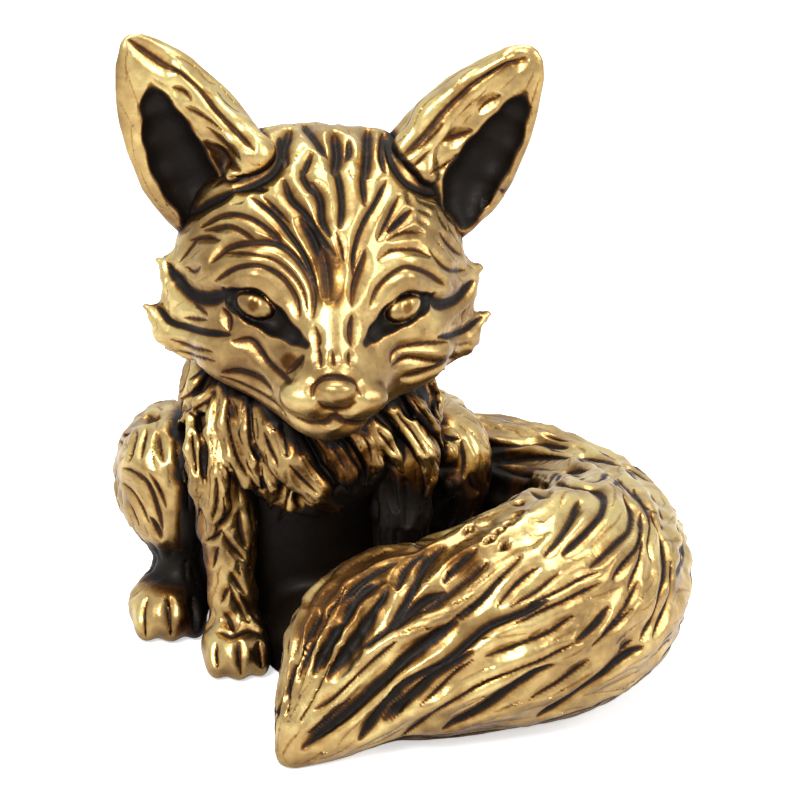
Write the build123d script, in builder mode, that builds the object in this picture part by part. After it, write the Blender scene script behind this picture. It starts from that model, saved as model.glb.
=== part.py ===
"""A small cast-brass ornament: a fox sitting upright with its bushy tail curled round its left side.

The figure is made the way a foundry makes one that is too undercut for a single mould: separate castings, each
seated in the larger one that carries it, located by a peg in a blind socket, and brazed.

Frame: millimetres, +Z up, the fox looks along -Y and its left side is +X. The origin is on the surface that the
figure stands on, under the front of the rump.
"""
from build123d import *

import os
from math import cos, pi, radians, sin

os.makedirs("parts", exist_ok=True)

# Torso: rump, belly, chest and the neck stub that enters the head
torso_width = 11.8
torso_depth = 12.4
torso_height = 14.0
neck_insert = 1.2

# Belly fill: the low metal left between the forelegs, which can't be cast hollow
fill_width = 5.2
fill_length = 7.6
fill_height = 3.2

# Head: skull, cheeks and muzzle in one casting, tilted a little to the fox's left
head_width = 14.0
head_length = 14.6
head_height = 11.9
head_side = 0.6
head_forward = 1.0
head_tilt = 4.0

# Locks of fur that run back over the skull and cheeks
fur_pitch = 3.2
fur_depth = 0.4

# Cheek tufts: an upper and a lower one on each side
tuft_length = 2.8
tuft_width = 3.2
tuft_thickness = 1.9

# Eyes in their sockets, and the nose pad
socket_width = 4.0
socket_height = 1.4
eye_width = 2.0
eye_height = 1.2
nose_width = 2.4
nose_height = 1.5

# Ears: upright leaves with a hollow front
ear_height = 9.4
ear_width = 5.9
ear_thickness = 2.8
ear_splay = 32.0
hollow_width = 3.6
hollow_depth = 1.4

# Ruff: the collar of long fur round the neck, deepest at the chest
ruff_width = 12.2
ruff_depth = 11.4
ruff_height_share = 0.4
ruff_height = ruff_height_share * torso_height

# Forelegs: straight from the shoulders down to the paws
foreleg_width = 2.5
foreleg_height_share = 0.786
foreleg_height = foreleg_height_share * torso_height
forepaw_width = 3.3
forepaw_length = 4.0
forepaw_height = 2.4

# Hind legs: the folded thigh, the shank under it, and the paw beside the forepaw
thigh_width = 5.8
thigh_length = 8.4
thigh_height_share = 0.493
thigh_height = thigh_height_share * torso_height
thigh_lift_share = 0.207
thigh_lift = thigh_lift_share * torso_height
shank_width = 3.0
shank_length = 5.0
shank_height = 5.6
hindpaw_width = 3.9
hindpaw_length = 4.6
hindpaw_height = 2.6

# Toes: grooves cut in the front of each paw
toe_groove_width = 0.3
toe_groove_depth = 0.35

# Tail: leaves the rump at the back, swells round the left side and tapers to a tip in front
tail_reach = 12.8
tail_front = 15.6
tail_thickness = 10.0

# Long locks that wind along the tail
lock_pitch = 2.2
lock_depth = 0.4

# Joints: pegs in blind sockets, with a gap for the braze
peg_radius = 0.5
peg_length = 1.6
braze_gap = 0.05

# The tail is ground flat underneath by this much
ground_flat = 0.2


def place(frame, x, y, z):
    """A point given in a frame's own axes, as a point of the whole figure."""
    return frame.from_local_coords(Vector(x, y, z))


def heading(frame, x, y, z):
    """A direction given in a frame's own axes, as a direction of the whole figure."""
    return frame.x_dir * x + frame.y_dir * y + frame.z_dir * z


def egg(frame, width, length, height):
    """An ellipsoid about a frame's origin, by its full sizes along the frame's axes."""
    ball = Sphere(1, mode=Mode.PRIVATE)
    return frame.location * scale(ball, by=(width / 2, length / 2, height / 2), mode=Mode.PRIVATE)


def rod(seat, gap):
    """The peg that goes down a seat's z axis, or with a gap the socket that it enters."""
    rooted = seat.offset(peg_radius)
    long = peg_radius + peg_length + gap
    down = (Align.CENTER, Align.CENTER, Align.MAX)
    return rooted.location * Cylinder(peg_radius + gap, long, align=down, mode=Mode.PRIVATE)


# Paws: the middle of each is low, so that its underside is ground flat
paw_middle_share = 0.42
paw_round_share = 1.16
toe_place_share = 0.17
toe_front_share = 0.45


def toe_slots(paw, width, length, height):
    """The cutters of the two grooves that part a paw's three toes, as deep as the toe grooves all over."""
    core = egg(
        paw,
        width - 2 * toe_groove_depth,
        length - 2 * toe_groove_depth,
        paw_round_share * height - 2 * toe_groove_depth,
    )
    blade = Box(toe_groove_width, length / 2, height, mode=Mode.PRIVATE)
    spots = [Pos(side * toe_place_share * width, -toe_front_share * length, 0) for side in (-1, 1)]
    return [paw.location * spot * blade - core for spot in spots]


# Torso
fill_forward_share = 0.37
torso_section_shares = [
    # height, way back, half width, half depth
    (0.00, 0.13, 0.42, 0.45),
    (0.18, 0.15, 0.50, 0.51),
    (0.40, 0.10, 0.49, 0.50),
    (0.62, 0.00, 0.46, 0.45),
    (0.82, -0.06, 0.41, 0.38),
    (1.00, -0.10, 0.33, 0.30),
]
with BuildPart() as torso:
    for up, back, wide, deep in torso_section_shares:
        with BuildSketch(Plane.XY.offset(up * torso_height)):
            with Locations((0, back * torso_depth)):
                Ellipse(wide * torso_width, deep * torso_depth)
    loft()
    add(egg(Plane(origin=(0, -fill_forward_share * torso_depth, 0)), fill_width, fill_length, 2 * fill_height))
    split(bisect_by=Plane.XY, keep=Keep.TOP)

# Head
head_drop_share = 0.41
head_lean = radians(head_tilt)
head_frame = Plane(
    origin=(head_side, -head_forward, torso_height - neck_insert + head_drop_share * head_height),
    x_dir=(cos(head_lean), 0, -sin(head_lean)),
    z_dir=(sin(head_lean), 0, cos(head_lean)),
)
head_section_shares = [
    # way forward, top, then half width and height of brow, cheek and jaw, and bottom
    (-0.39, 0.13, 0.06, 0.11, 0.07, 0.04, 0.05, -0.02, -0.05),
    (-0.34, 0.25, 0.14, 0.19, 0.18, 0.04, 0.12, -0.11, -0.17),
    (-0.24, 0.44, 0.28, 0.30, 0.36, 0.03, 0.24, -0.24, -0.32),
    (-0.05, 0.53, 0.36, 0.35, 0.46, -0.05, 0.31, -0.33, -0.41),
    (0.12, 0.50, 0.35, 0.32, 0.49, -0.13, 0.30, -0.39, -0.45),
    (0.30, 0.36, 0.27, 0.20, 0.37, -0.15, 0.23, -0.39, -0.46),
    (0.43, 0.10, 0.14, 0.01, 0.22, -0.20, 0.15, -0.40, -0.47),
    (0.53, -0.10, 0.09, -0.14, 0.15, -0.27, 0.11, -0.39, -0.445),
    (0.61, -0.16, 0.06, -0.18, 0.08, -0.24, 0.05, -0.30, -0.33),
]
# How deep the locks of fur are at each of the head's sections
fur_fade_shares = (0, 0.5, 1, 1, 1, 0.7, 0.2, 0, 0)
fur_count = 2 * round(pi * (head_width + head_height) / 4 / fur_pitch)
tuft_place_shares = [
    # way out, way forward and height of the tip, then its rise
    (0.515, 0.05, -0.01, 0.35),
    (0.55, 0.07, -0.18, 0.10),
]
tuft_section_shares = [
    # way along, size
    (0.00, 1.00),
    (0.50, 0.80),
    (0.85, 0.40),
    (1.00, 0.12),
]
tuft_sweep_share = 0.35
eye_place_shares = (0.235, 0.35, -0.03)
eye_turn_share = 0.6
eye_slant_share = 0.4
eye_sink_share = 0.45
nose_place_shares = (0.59, -0.19)


def head_outline(top, brow_x, brow_z, cheek_x, cheek_z, jaw_x, jaw_z, bottom):
    """The points of the head's closed outline across one station."""
    half = [(brow_x, brow_z), (cheek_x, cheek_z), (jaw_x, jaw_z)]
    mirrored = [(-x, z) for x, z in reversed(half)]
    return [(x * head_width, z * head_height) for x, z in [(0, top), *half, (0, bottom), *mirrored]]


def furred(outline, fade):
    """The points of an outline that rises and falls over locks of fur, which are full at a fade of one."""
    loop = Spline(*outline, periodic=True, mode=Mode.PRIVATE)
    middle = loop.center(CenterOf.BOUNDING_BOX)
    points = []
    for i in range(2 * fur_count):
        point = loop @ (i / (2 * fur_count))
        swell = (-1) ** i * fade * fur_depth / 2
        points.append(point + (point - middle).normalized() * swell)
    return points


def tuft(side, wide, ahead, up, rise):
    """One cheek tuft: a flattened horn that points outwards and a little back."""
    horn_frame = Plane(
        origin=place(head_frame, side * wide * head_width, -ahead * head_length, up * head_height),
        x_dir=heading(head_frame, -side * rise, 0, 1),
        z_dir=heading(head_frame, side, tuft_sweep_share, rise),
    )
    with BuildPart() as horn:
        for along, size in tuft_section_shares:
            with BuildSketch(horn_frame.offset((along - 1) * tuft_length)):
                Ellipse(size * tuft_width / 2, size * tuft_thickness / 2)
        loft()
    return horn.part


def eye_frame(side):
    """The frame of one eye: x along the slit between the lids, y into the head."""
    out, ahead, up = eye_place_shares
    return Plane(
        origin=place(head_frame, side * out * head_width, -ahead * head_length, up * head_height),
        x_dir=heading(head_frame, 1, side * eye_turn_share, side * eye_slant_share),
        z_dir=heading(head_frame, -side * eye_slant_share, 0, 1),
    )


def eyeball(side):
    """One eye, sunk so that its back is fast in the head behind the socket."""
    frame = eye_frame(side)
    middle = place(frame, 0, eye_sink_share * eye_width, 0)
    return egg(Plane(origin=middle, x_dir=frame.x_dir, z_dir=frame.z_dir), eye_width, eye_width, eye_height)


tufts = [tuft(side, *shares) for side in (-1, 1) for shares in tuft_place_shares]
sockets = [egg(eye_frame(side), socket_width, socket_height, socket_height) for side in (-1, 1)]
eyes = [eyeball(side) for side in (-1, 1)]
nose_ahead, nose_up = nose_place_shares
nose_middle = place(head_frame, 0, -nose_ahead * head_length, nose_up * head_height)
nose_frame = Plane(origin=nose_middle, x_dir=head_frame.x_dir, z_dir=head_frame.z_dir)
with BuildPart() as head:
    for (ahead, *shares), fade in zip(head_section_shares, fur_fade_shares):
        middle = place(head_frame, 0, -ahead * head_length, 0)
        with BuildSketch(Plane(origin=middle, x_dir=head_frame.x_dir, z_dir=heading(head_frame, 0, -1, 0))):
            with BuildLine():
                Spline(*furred(head_outline(*shares), fade), periodic=True)
            make_face()
    loft()
    add(tufts)
    add(egg(nose_frame, nose_width, nose_height, nose_height))
    add(sockets, mode=Mode.SUBTRACT)
    add(eyes)
    add(torso.part, mode=Mode.SUBTRACT)

# Ears
ear_place_shares = (0.30, 0.02, 0.22)
ear_section_shares = [
    # way up, way back, half width, half thickness
    (0.00, 0.00, 0.40, 0.50),
    (0.22, 0.04, 0.50, 0.46),
    (0.45, 0.05, 0.47, 0.38),
    (0.68, 0.00, 0.37, 0.30),
    (0.88, -0.08, 0.22, 0.20),
    (1.00, -0.12, 0.08, 0.08),
]
hollow_section_shares = [
    # way up, half width, depth
    (0.08, 0.40, 0.60),
    (0.25, 0.50, 0.84),
    (0.48, 0.42, 0.80),
    (0.66, 0.26, 0.56),
    (0.78, 0.08, 0.20),
]
ear_turn_share = 0.25
ear_seat_shares = (0.15, 0.18)


def ear_frame(side):
    """The frame of one ear: z up along the ear, y towards its back."""
    out, back, up = ear_place_shares
    splay = radians(ear_splay)
    return Plane(
        origin=place(head_frame, side * out * head_width, back * head_length, up * head_height),
        x_dir=heading(head_frame, cos(splay), -side * ear_turn_share, -side * sin(splay)),
        z_dir=heading(head_frame, side * sin(splay), 0, cos(splay)),
    )


def ear_seat(side):
    """The seat of one ear on the skull, at the ear's thick back."""
    up, back = ear_seat_shares
    frame = ear_frame(side)
    middle = place(frame, 0, back * ear_thickness, up * ear_height)
    return Plane(origin=middle, x_dir=frame.x_dir, z_dir=frame.z_dir)


def ear(side):
    """One ear, seated on the head with a peg under it."""
    frame = ear_frame(side)
    with BuildPart() as hollow:
        for up, wide, deep in hollow_section_shares:
            with BuildSketch(frame.offset(up * ear_height)):
                with Locations((0, -ear_thickness / 2)):
                    Ellipse(wide * hollow_width, deep * hollow_depth)
        loft()
    with BuildPart() as leaf:
        for up, back, wide, thick in ear_section_shares:
            with BuildSketch(frame.offset(up * ear_height)):
                with Locations((0, back * ear_thickness)):
                    Ellipse(wide * ear_width, thick * ear_thickness)
        loft()
        add(hollow.part, mode=Mode.SUBTRACT)
        add(head.part, mode=Mode.SUBTRACT)
        add(rod(ear_seat(side), 0))
    return leaf


left_ear = ear(1)
right_ear = ear(-1)

# Ruff
ruff_section_shares = [
    # way down, way forward, half width, half depth
    (-0.12, 0.06, 0.40, 0.38),
    (0.14, 0.07, 0.50, 0.50),
    (0.40, 0.09, 0.50, 0.52),
    (0.68, 0.20, 0.40, 0.43),
    (0.90, 0.33, 0.22, 0.26),
    (1.00, 0.40, 0.08, 0.12),
]
with BuildPart() as ruff:
    for down, ahead, wide, deep in ruff_section_shares:
        with BuildSketch(Plane.XY.offset(torso_height - neck_insert - down * ruff_height)):
            with Locations((0, -ahead * ruff_depth)):
                Ellipse(wide * ruff_width, deep * ruff_depth)
    loft()
    add(torso.part, mode=Mode.SUBTRACT)
    add(head.part, mode=Mode.SUBTRACT)

# Forelegs
foreleg_place_shares = (0.32, 0.40)
foreleg_section_shares = [
    # way up, way out, way back, half width
    (0.08, 0.00, 0.10, 0.46),
    (0.30, 0.02, 0.06, 0.44),
    (0.60, 0.08, 0.10, 0.54),
    (0.85, 0.12, 0.34, 0.66),
    (1.00, 0.10, 0.70, 0.50),
]
forepaw_forward_share = 0.22
shoulder_seat_shares = (0.74, 0.12, 0.56)


def foreleg_spot(side, up, out, back):
    """A point of one foreleg, by shares of its height and width from where it stands."""
    across, ahead = foreleg_place_shares
    x = side * (across * torso_width + out * foreleg_width)
    y = back * foreleg_width - ahead * torso_depth
    return Vector(x, y, up * foreleg_height)


def shoulder_seat(side):
    """The seat of one foreleg on the front of the torso."""
    return Plane(origin=foreleg_spot(side, *shoulder_seat_shares), x_dir=(1, 0, 0), z_dir=(0, -1, 0))


def foreleg(side):
    """One foreleg with its paw."""
    stand = foreleg_spot(side, 0, 0, 0)
    paw = Plane(origin=stand + Vector(0, -forepaw_forward_share * forepaw_length, paw_middle_share * forepaw_height))
    slots = toe_slots(paw, forepaw_width, forepaw_length, forepaw_height)
    with BuildPart() as leg:
        for up, out, back, wide in foreleg_section_shares:
            with BuildSketch(Plane(origin=foreleg_spot(side, up, out, back))):
                Circle(wide * foreleg_width)
        loft()
        add(egg(paw, forepaw_width, forepaw_length, paw_round_share * forepaw_height))
        add(slots, mode=Mode.SUBTRACT)
        split(bisect_by=Plane.XY, keep=Keep.TOP)
        add(torso.part, mode=Mode.SUBTRACT)
        add(ruff.part, mode=Mode.SUBTRACT)
        add(rod(shoulder_seat(side), 0))
    return leg


left_foreleg = foreleg(1)
right_foreleg = foreleg(-1)

# Hind legs
thigh_place_shares = (0.51, 0.10)
shank_place_shares = (0.51, 0.05)
shank_lift_share = 0.40
hindpaw_place_shares = (0.56, -0.12)
thigh_seat_shares = (0.47, 0.10)


def hind_leg_spot(side, shares, up):
    """A point of one hind leg, by shares of the torso's width and depth from the figure's middle, and its height."""
    across, back = shares
    return Vector(side * across * torso_width, back * torso_depth, up)


def thigh_seat(side):
    """The seat of one thigh on the flank of the torso."""
    middle = hind_leg_spot(side, thigh_seat_shares, thigh_lift + thigh_height / 2)
    return Plane(origin=middle, x_dir=(0, 1, 0), z_dir=(side, 0, 0))


def hind_leg(side):
    """One hind leg: thigh, shank and paw."""
    thigh = Plane(origin=hind_leg_spot(side, thigh_place_shares, thigh_lift + thigh_height / 2))
    shank = Plane(origin=hind_leg_spot(side, shank_place_shares, shank_lift_share * shank_height))
    paw = Plane(origin=hind_leg_spot(side, hindpaw_place_shares, paw_middle_share * hindpaw_height))
    slots = toe_slots(paw, hindpaw_width, hindpaw_length, hindpaw_height)
    with BuildPart() as leg:
        add(egg(thigh, thigh_width, thigh_length, thigh_height))
        add(egg(shank, shank_width, shank_length, shank_height))
        add(egg(paw, hindpaw_width, hindpaw_length, paw_round_share * hindpaw_height))
        add(slots, mode=Mode.SUBTRACT)
        split(bisect_by=Plane.XY, keep=Keep.TOP)
        add(torso.part, mode=Mode.SUBTRACT)
        add(ruff.part, mode=Mode.SUBTRACT)
        add(rod(thigh_seat(side), 0))
    return leg


left_hind_leg = hind_leg(1)
right_hind_leg = hind_leg(-1)

# Tail
tail_root_shares = (0.12, 0.42, 0.19)
tail_section_shares = [
    # way across, way forward, radius
    (0.46, -0.38, 0.315),
    (0.775, -0.26, 0.355),
    (1.00, 0.00, 0.37),
    (1.00, 0.35, 0.43),
    (0.815, 0.68, 0.50),
    (0.405, 0.79, 0.435),
    (0.175, 0.80, 0.405),
    (-0.035, 0.92, 0.22),
    (-0.15, 0.985, 0.09),
]
lock_shares = [
    # how deep the locks are at each of the tail's sections, and how far they have wound round it in degrees
    (0.3, 0),
    (0.6, -7),
    (0.8, -14),
    (0.9, -22),
    (1.0, -36),
    (1.0, -61),
    (1.0, -86),
    (0.9, -101),
    (0.5, -106),
    (0.0, -108),
]
lock_count = round(pi * tail_thickness / lock_pitch)
tail_seat_share = 0.38


def between(before, start, end, after, part):
    """A number part of the way from start to end, on a smooth curve through all four."""
    slope = (end - before) / 2
    other = (after - start) / 2
    rise = end - start
    return start + part * (slope + part * (3 * rise - 2 * slope - other + part * (slope + other - 2 * rise)))


def refined(rows, steps):
    """Rows of numbers with more of them between, so that the locks wind smoothly."""
    ends = [rows[0], *rows, rows[-1]]
    finer = []
    for i in range(len(rows) - 1):
        for step in range(steps):
            finer.append([between(*near, step / steps) for near in zip(*ends[i : i + 4])])
    return [*finer, rows[-1]]


across, back, radius = tail_root_shares
tail_rows = [(across * torso_width, back * torso_depth, radius * tail_thickness, *lock_shares[0])]
for (across, ahead, radius), lock in zip(tail_section_shares, lock_shares[1:]):
    tail_rows.append((across * tail_reach, -ahead * tail_front, radius * tail_thickness, *lock))
tail_sections = refined(tail_rows, 3)
tail_route = [Vector(x, y, radius - ground_flat) for x, y, radius, _, _ in tail_sections]
tail_way = tail_route[1] - tail_route[0]
seat_reach = (tail_seat_share * torso_width - tail_route[0].X) / tail_way.X
tail_seat = Plane(origin=tail_route[0] + tail_way * seat_reach, z_dir=tail_way)


def locks(radius, fade, turn):
    """The points of a round outline that rises and falls over locks of fur, but not underneath."""
    points = []
    for i in range(4 * lock_count):
        angle = pi * i / (2 * lock_count)
        under = max(0, sin(angle))
        swell = (1 - under) * fade * lock_depth / 2 * cos(lock_count * (angle - radians(turn)))
        points.append(((radius + swell) * cos(angle), (radius + swell) * sin(angle)))
    return points


with BuildPart() as tail:
    for i, middle in enumerate(tail_route):
        before = tail_route[max(i - 1, 0)]
        after = tail_route[min(i + 1, len(tail_route) - 1)]
        way = after - before
        with BuildSketch(Plane(origin=middle, x_dir=way.cross(Vector(0, 0, 1)), z_dir=way)):
            with BuildLine():
                Spline(*locks(*tail_sections[i][2:]), periodic=True)
            make_face()
    loft()
    with Locations(tail_route[-1]):
        Sphere(tail_sections[-1][2])
    split(bisect_by=Plane.XY, keep=Keep.TOP)
    add(torso.part, mode=Mode.SUBTRACT)
    add(left_hind_leg.part, mode=Mode.SUBTRACT)
    add(rod(tail_seat, 0))

# Sockets for the pegs
with BuildPart() as bored_head:
    add(head.part)
    add([rod(ear_seat(side), braze_gap) for side in (-1, 1)], mode=Mode.SUBTRACT)

with BuildPart() as bored_torso:
    add(torso.part)
    for side in (-1, 1):
        add(rod(shoulder_seat(side), braze_gap), mode=Mode.SUBTRACT)
        add(rod(thigh_seat(side), braze_gap), mode=Mode.SUBTRACT)
    add(rod(tail_seat, braze_gap), mode=Mode.SUBTRACT)

castings = {
    "torso": bored_torso,
    "head": bored_head,
    "left_ear": left_ear,
    "right_ear": right_ear,
    "ruff": ruff,
    "left_foreleg": left_foreleg,
    "right_foreleg": right_foreleg,
    "left_hind_leg": left_hind_leg,
    "right_hind_leg": right_hind_leg,
    "tail": tail,
}
for name, casting in castings.items():
    casting.part.label = name
    export_step(casting.part, f"parts/{name}.step")
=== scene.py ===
"""The looks of a small antiqued cast-brass fox: carved fur, black patina in recesses, polished high spots,
with painted shade in the deep recesses and on faces turned down, and painted light on faces turned up.

Every visible casting is sculpted in millimetres as a distance field (ellipsoids, tapering limbs, lofts and
soft joins), meshed, then carved with tapering grooves. Vertex attributes keep how black, how open and how
deeply cut each point is, and the brass material reads them.
"""
from math import cos, pi, radians, sin

import bpy
import numpy as np
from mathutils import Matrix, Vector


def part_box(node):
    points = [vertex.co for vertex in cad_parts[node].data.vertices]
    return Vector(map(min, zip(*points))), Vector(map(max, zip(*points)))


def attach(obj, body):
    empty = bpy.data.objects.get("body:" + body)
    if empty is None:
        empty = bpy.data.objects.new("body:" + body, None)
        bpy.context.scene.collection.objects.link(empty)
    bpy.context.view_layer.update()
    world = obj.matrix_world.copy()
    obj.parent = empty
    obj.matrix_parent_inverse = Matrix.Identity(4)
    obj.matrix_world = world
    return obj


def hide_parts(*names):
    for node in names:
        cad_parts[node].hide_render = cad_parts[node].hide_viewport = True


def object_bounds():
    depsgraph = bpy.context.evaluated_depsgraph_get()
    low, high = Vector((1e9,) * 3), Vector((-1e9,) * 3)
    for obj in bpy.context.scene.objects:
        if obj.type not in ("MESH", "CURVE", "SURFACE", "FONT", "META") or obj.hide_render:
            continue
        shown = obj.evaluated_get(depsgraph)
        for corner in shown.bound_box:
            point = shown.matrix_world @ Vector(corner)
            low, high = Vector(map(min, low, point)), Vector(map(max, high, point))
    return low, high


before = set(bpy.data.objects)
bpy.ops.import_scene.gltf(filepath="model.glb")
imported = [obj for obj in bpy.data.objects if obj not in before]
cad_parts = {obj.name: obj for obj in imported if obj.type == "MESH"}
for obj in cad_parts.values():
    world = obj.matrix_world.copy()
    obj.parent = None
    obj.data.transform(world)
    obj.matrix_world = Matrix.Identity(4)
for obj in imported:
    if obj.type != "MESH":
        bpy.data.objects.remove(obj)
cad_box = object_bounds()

import openvdb
from mathutils import Matrix, Vector
from mathutils.kdtree import KDTree

MM = 0.001
TINY = 1e-6

# The camera, in millimetres and degrees; the photograph is a frame of 800 by 800
PHOTO_SIZE = 800
PHOTO_MIDDLE = PHOTO_SIZE / 2
SENSOR_WIDTH = 36.0
VIEW_TURN = -6.5
VIEW_RISE = 24.0
VIEW_DISTANCE = 190.0
VIEW_TARGET = np.array([4.4, -0.5, 10.5])
PIXELS_PER_MM = 21.6
FOCAL_PIXELS = PIXELS_PER_MM * VIEW_DISTANCE

# Sight lines: where they start, their number of steps, and each step's share of the gap and its limits
SIGHT_START = VIEW_DISTANCE - 25.0
SIGHT_STEPS = 90
SIGHT_PACE = 0.75
SIGHT_BACK, SIGHT_AHEAD = -0.5, 2.0

# How finely forms are sampled: points between the given ones, and cells of a loft
SECTION_STEPS, STATION_STEPS, LOOP_STEPS = 8, 6, 16
LINE_STEPS, TAIL_STEPS = 5, 6
LOFT_TURNS, LOFT_LEVELS = 96, 160
# Guards: a loft's least radius in its slope, a grid's last cell, a tube's steepest taper, the step of slopes
LOFT_LEAST, LAST_CELL, MOST_STEEP, SLOPE_STEP = 0.3, 1.001, 0.9, 0.01

# Meshing: voxels along a block's edge, how near the surface a block counts, points in one call of a field
BLOCK = 4
NEAR_BLOCKS = 1.3
CHUNK = 150000


def unit(ways):
    """Directions of length one."""
    return ways / np.maximum(np.linalg.norm(ways, axis=-1), TINY)[..., None]


def view_axes():
    """The camera's right, up and back directions."""
    turn, rise = radians(VIEW_TURN), radians(VIEW_RISE)
    back = np.array([sin(turn) * cos(rise), -cos(turn) * cos(rise), sin(rise)])
    right = np.array([cos(turn), sin(turn), 0.0])
    return right, np.cross(back, right), back


RIGHT, UP, BACK = view_axes()
EYE = VIEW_TARGET + BACK * VIEW_DISTANCE


# Distance fields: each takes points as an (n, 3) array and gives millimetres outside the surface
def round_gap(q, radii):
    """About how far points are outside an ellipsoid or an ellipse round the origin."""
    k = np.linalg.norm(q / radii, axis=1)
    slope = np.linalg.norm(q / radii**2, axis=1)
    return k * (k - 1) / np.maximum(slope, TINY)


def ball(middle, radii, turn=None):
    """An ellipsoid. turn is a 3 by 3 matrix whose rows are its own axes."""
    middle, radii = np.array(middle, float), np.array(radii, float)

    def field(p):
        q = p - middle
        return round_gap(q if turn is None else q @ turn.T, radii)

    return field


def limb(points, blend):
    """A chain of tapering round limbs through (x, y, z, radius) points."""
    points = np.array(points, float)

    def field(p):
        out = None
        for a, b in zip(points[:-1], points[1:]):
            way = b[:3] - a[:3]
            q = p - a[:3]
            t = np.clip(q @ way / max(way @ way, TINY), 0, 1)
            d = np.linalg.norm(q - t[:, None] * way, axis=1) - (a[3] + t * (b[3] - a[3]))
            out = d if out is None else soft_min(out, d, blend)
        return out

    return field


def soft_min(a, b, k):
    """The lower of two fields, with a round joint of about k millimetres."""
    if k <= 0:
        return np.minimum(a, b)
    h = np.maximum(k - np.abs(a - b), 0) / k
    return np.minimum(a, b) - h * h * k / 4


def join(k, *fields):
    """Several forms melted together."""
    def field(p):
        out = fields[0](p)
        for other in fields[1:]:
            out = soft_min(out, other(p), k)
        return out

    return field


def cut(k, body, *tools):
    """A form with others scooped out of it."""
    def field(p):
        out = body(p)
        for tool in tools:
            out = -soft_min(-out, tool(p), k)
        return out

    return field


def placed(field, origin, axes):
    """A field given in a frame whose axes are the rows of a matrix."""
    return lambda p: field((p - origin) @ axes.T)


def grounded(field):
    """A form cut flat where the figure stands."""
    return lambda p: -soft_min(-field(p), p[:, 2], GROUND_ROUND)


def curve(points, steps):
    """A smooth line through control points of any dimension, as an array."""
    points = np.array(points, float)
    ends = np.vstack([2 * points[0] - points[1], points, 2 * points[-1] - points[-2]])
    out = []
    for i in range(1, len(ends) - 2):
        a, b, c, d = ends[i - 1 : i + 3]
        bent, twisted = 2 * a - 5 * b + 4 * c - d, 3 * b - a - 3 * c + d
        for t in np.linspace(0, 1, steps, endpoint=False):
            out.append(0.5 * (2 * b + (c - a) * t + bent * t**2 + twisted * t**3))
    out.append(ends[-2])
    return np.array(out)


def stack(sections):
    """Ellipses stacked along z: each section is (z, middle x, middle y, half width, half depth)."""
    table = curve(sections, SECTION_STEPS)
    table = table[np.argsort(table[:, 0])]

    def field(p):
        x, y, wide, deep = (np.interp(p[:, 2], table[:, 0], table[:, i]) for i in range(1, 5))
        d = round_gap(np.stack([p[:, 0] - x, p[:, 1] - y], 1), np.stack([wide, deep], 1))
        return np.maximum(d, np.maximum(p[:, 2] - table[-1, 0], table[0, 0] - p[:, 2]))

    return field


def loft(stations, outlines):
    """A form through closed outlines round the z axis; each outline is points round its own middle height."""
    turns = np.linspace(-pi, pi, LOFT_TURNS + 1)
    rows = []
    for outline in outlines:
        loop = np.array(outline, float)
        middle = np.array([0.0, (loop[:, 1].max() + loop[:, 1].min()) / 2])
        wrapped = np.vstack([loop[-1:], loop, loop[:2]])
        smooth = curve(wrapped, LOOP_STEPS)[LOOP_STEPS:-LOOP_STEPS] - middle
        angle = np.arctan2(smooth[:, 1], smooth[:, 0])
        order = np.argsort(angle)
        radius = np.interp(turns, angle[order], np.linalg.norm(smooth, axis=1)[order], period=2 * pi)
        rows.append(np.concatenate([[middle[1]], radius]))
    table = curve(np.column_stack([stations, rows]), STATION_STEPS)
    spots = np.linspace(table[0, 0], table[-1, 0], LOFT_LEVELS)
    table = np.stack([np.interp(spots, table[:, 0], table[:, i]) for i in range(1, table.shape[1])], 1)
    middles, radii = table[:, 0], table[:, 1:]
    along, around = np.gradient(radii, spots[1] - spots[0], turns[1] - turns[0])
    steep = np.sqrt(1 + along**2 + (around / np.maximum(radii, LOFT_LEAST)) ** 2)

    def field(p):
        place = np.clip((p[:, 2] - spots[0]) / (spots[1] - spots[0]), 0, len(spots) - LAST_CELL)
        i = place.astype(int)
        u = place - i
        q0, q1 = p[:, 0], p[:, 1] - (middles[i] * (1 - u) + middles[i + 1] * u)
        turn = (np.arctan2(q1, q0) + pi) / (2 * pi) * LOFT_TURNS
        j = np.clip(turn.astype(int), 0, LOFT_TURNS - 1)
        v = turn - j

        def look(t):
            low = t[i, j] * (1 - v) + t[i, j + 1] * v
            high = t[i + 1, j] * (1 - v) + t[i + 1, j + 1] * v
            return low * (1 - u) + high * u

        d = (np.hypot(q0, q1) - look(radii)) / look(steep)
        return np.maximum(d, np.maximum(p[:, 2] - spots[-1], spots[0] - p[:, 2]))

    return field


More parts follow.
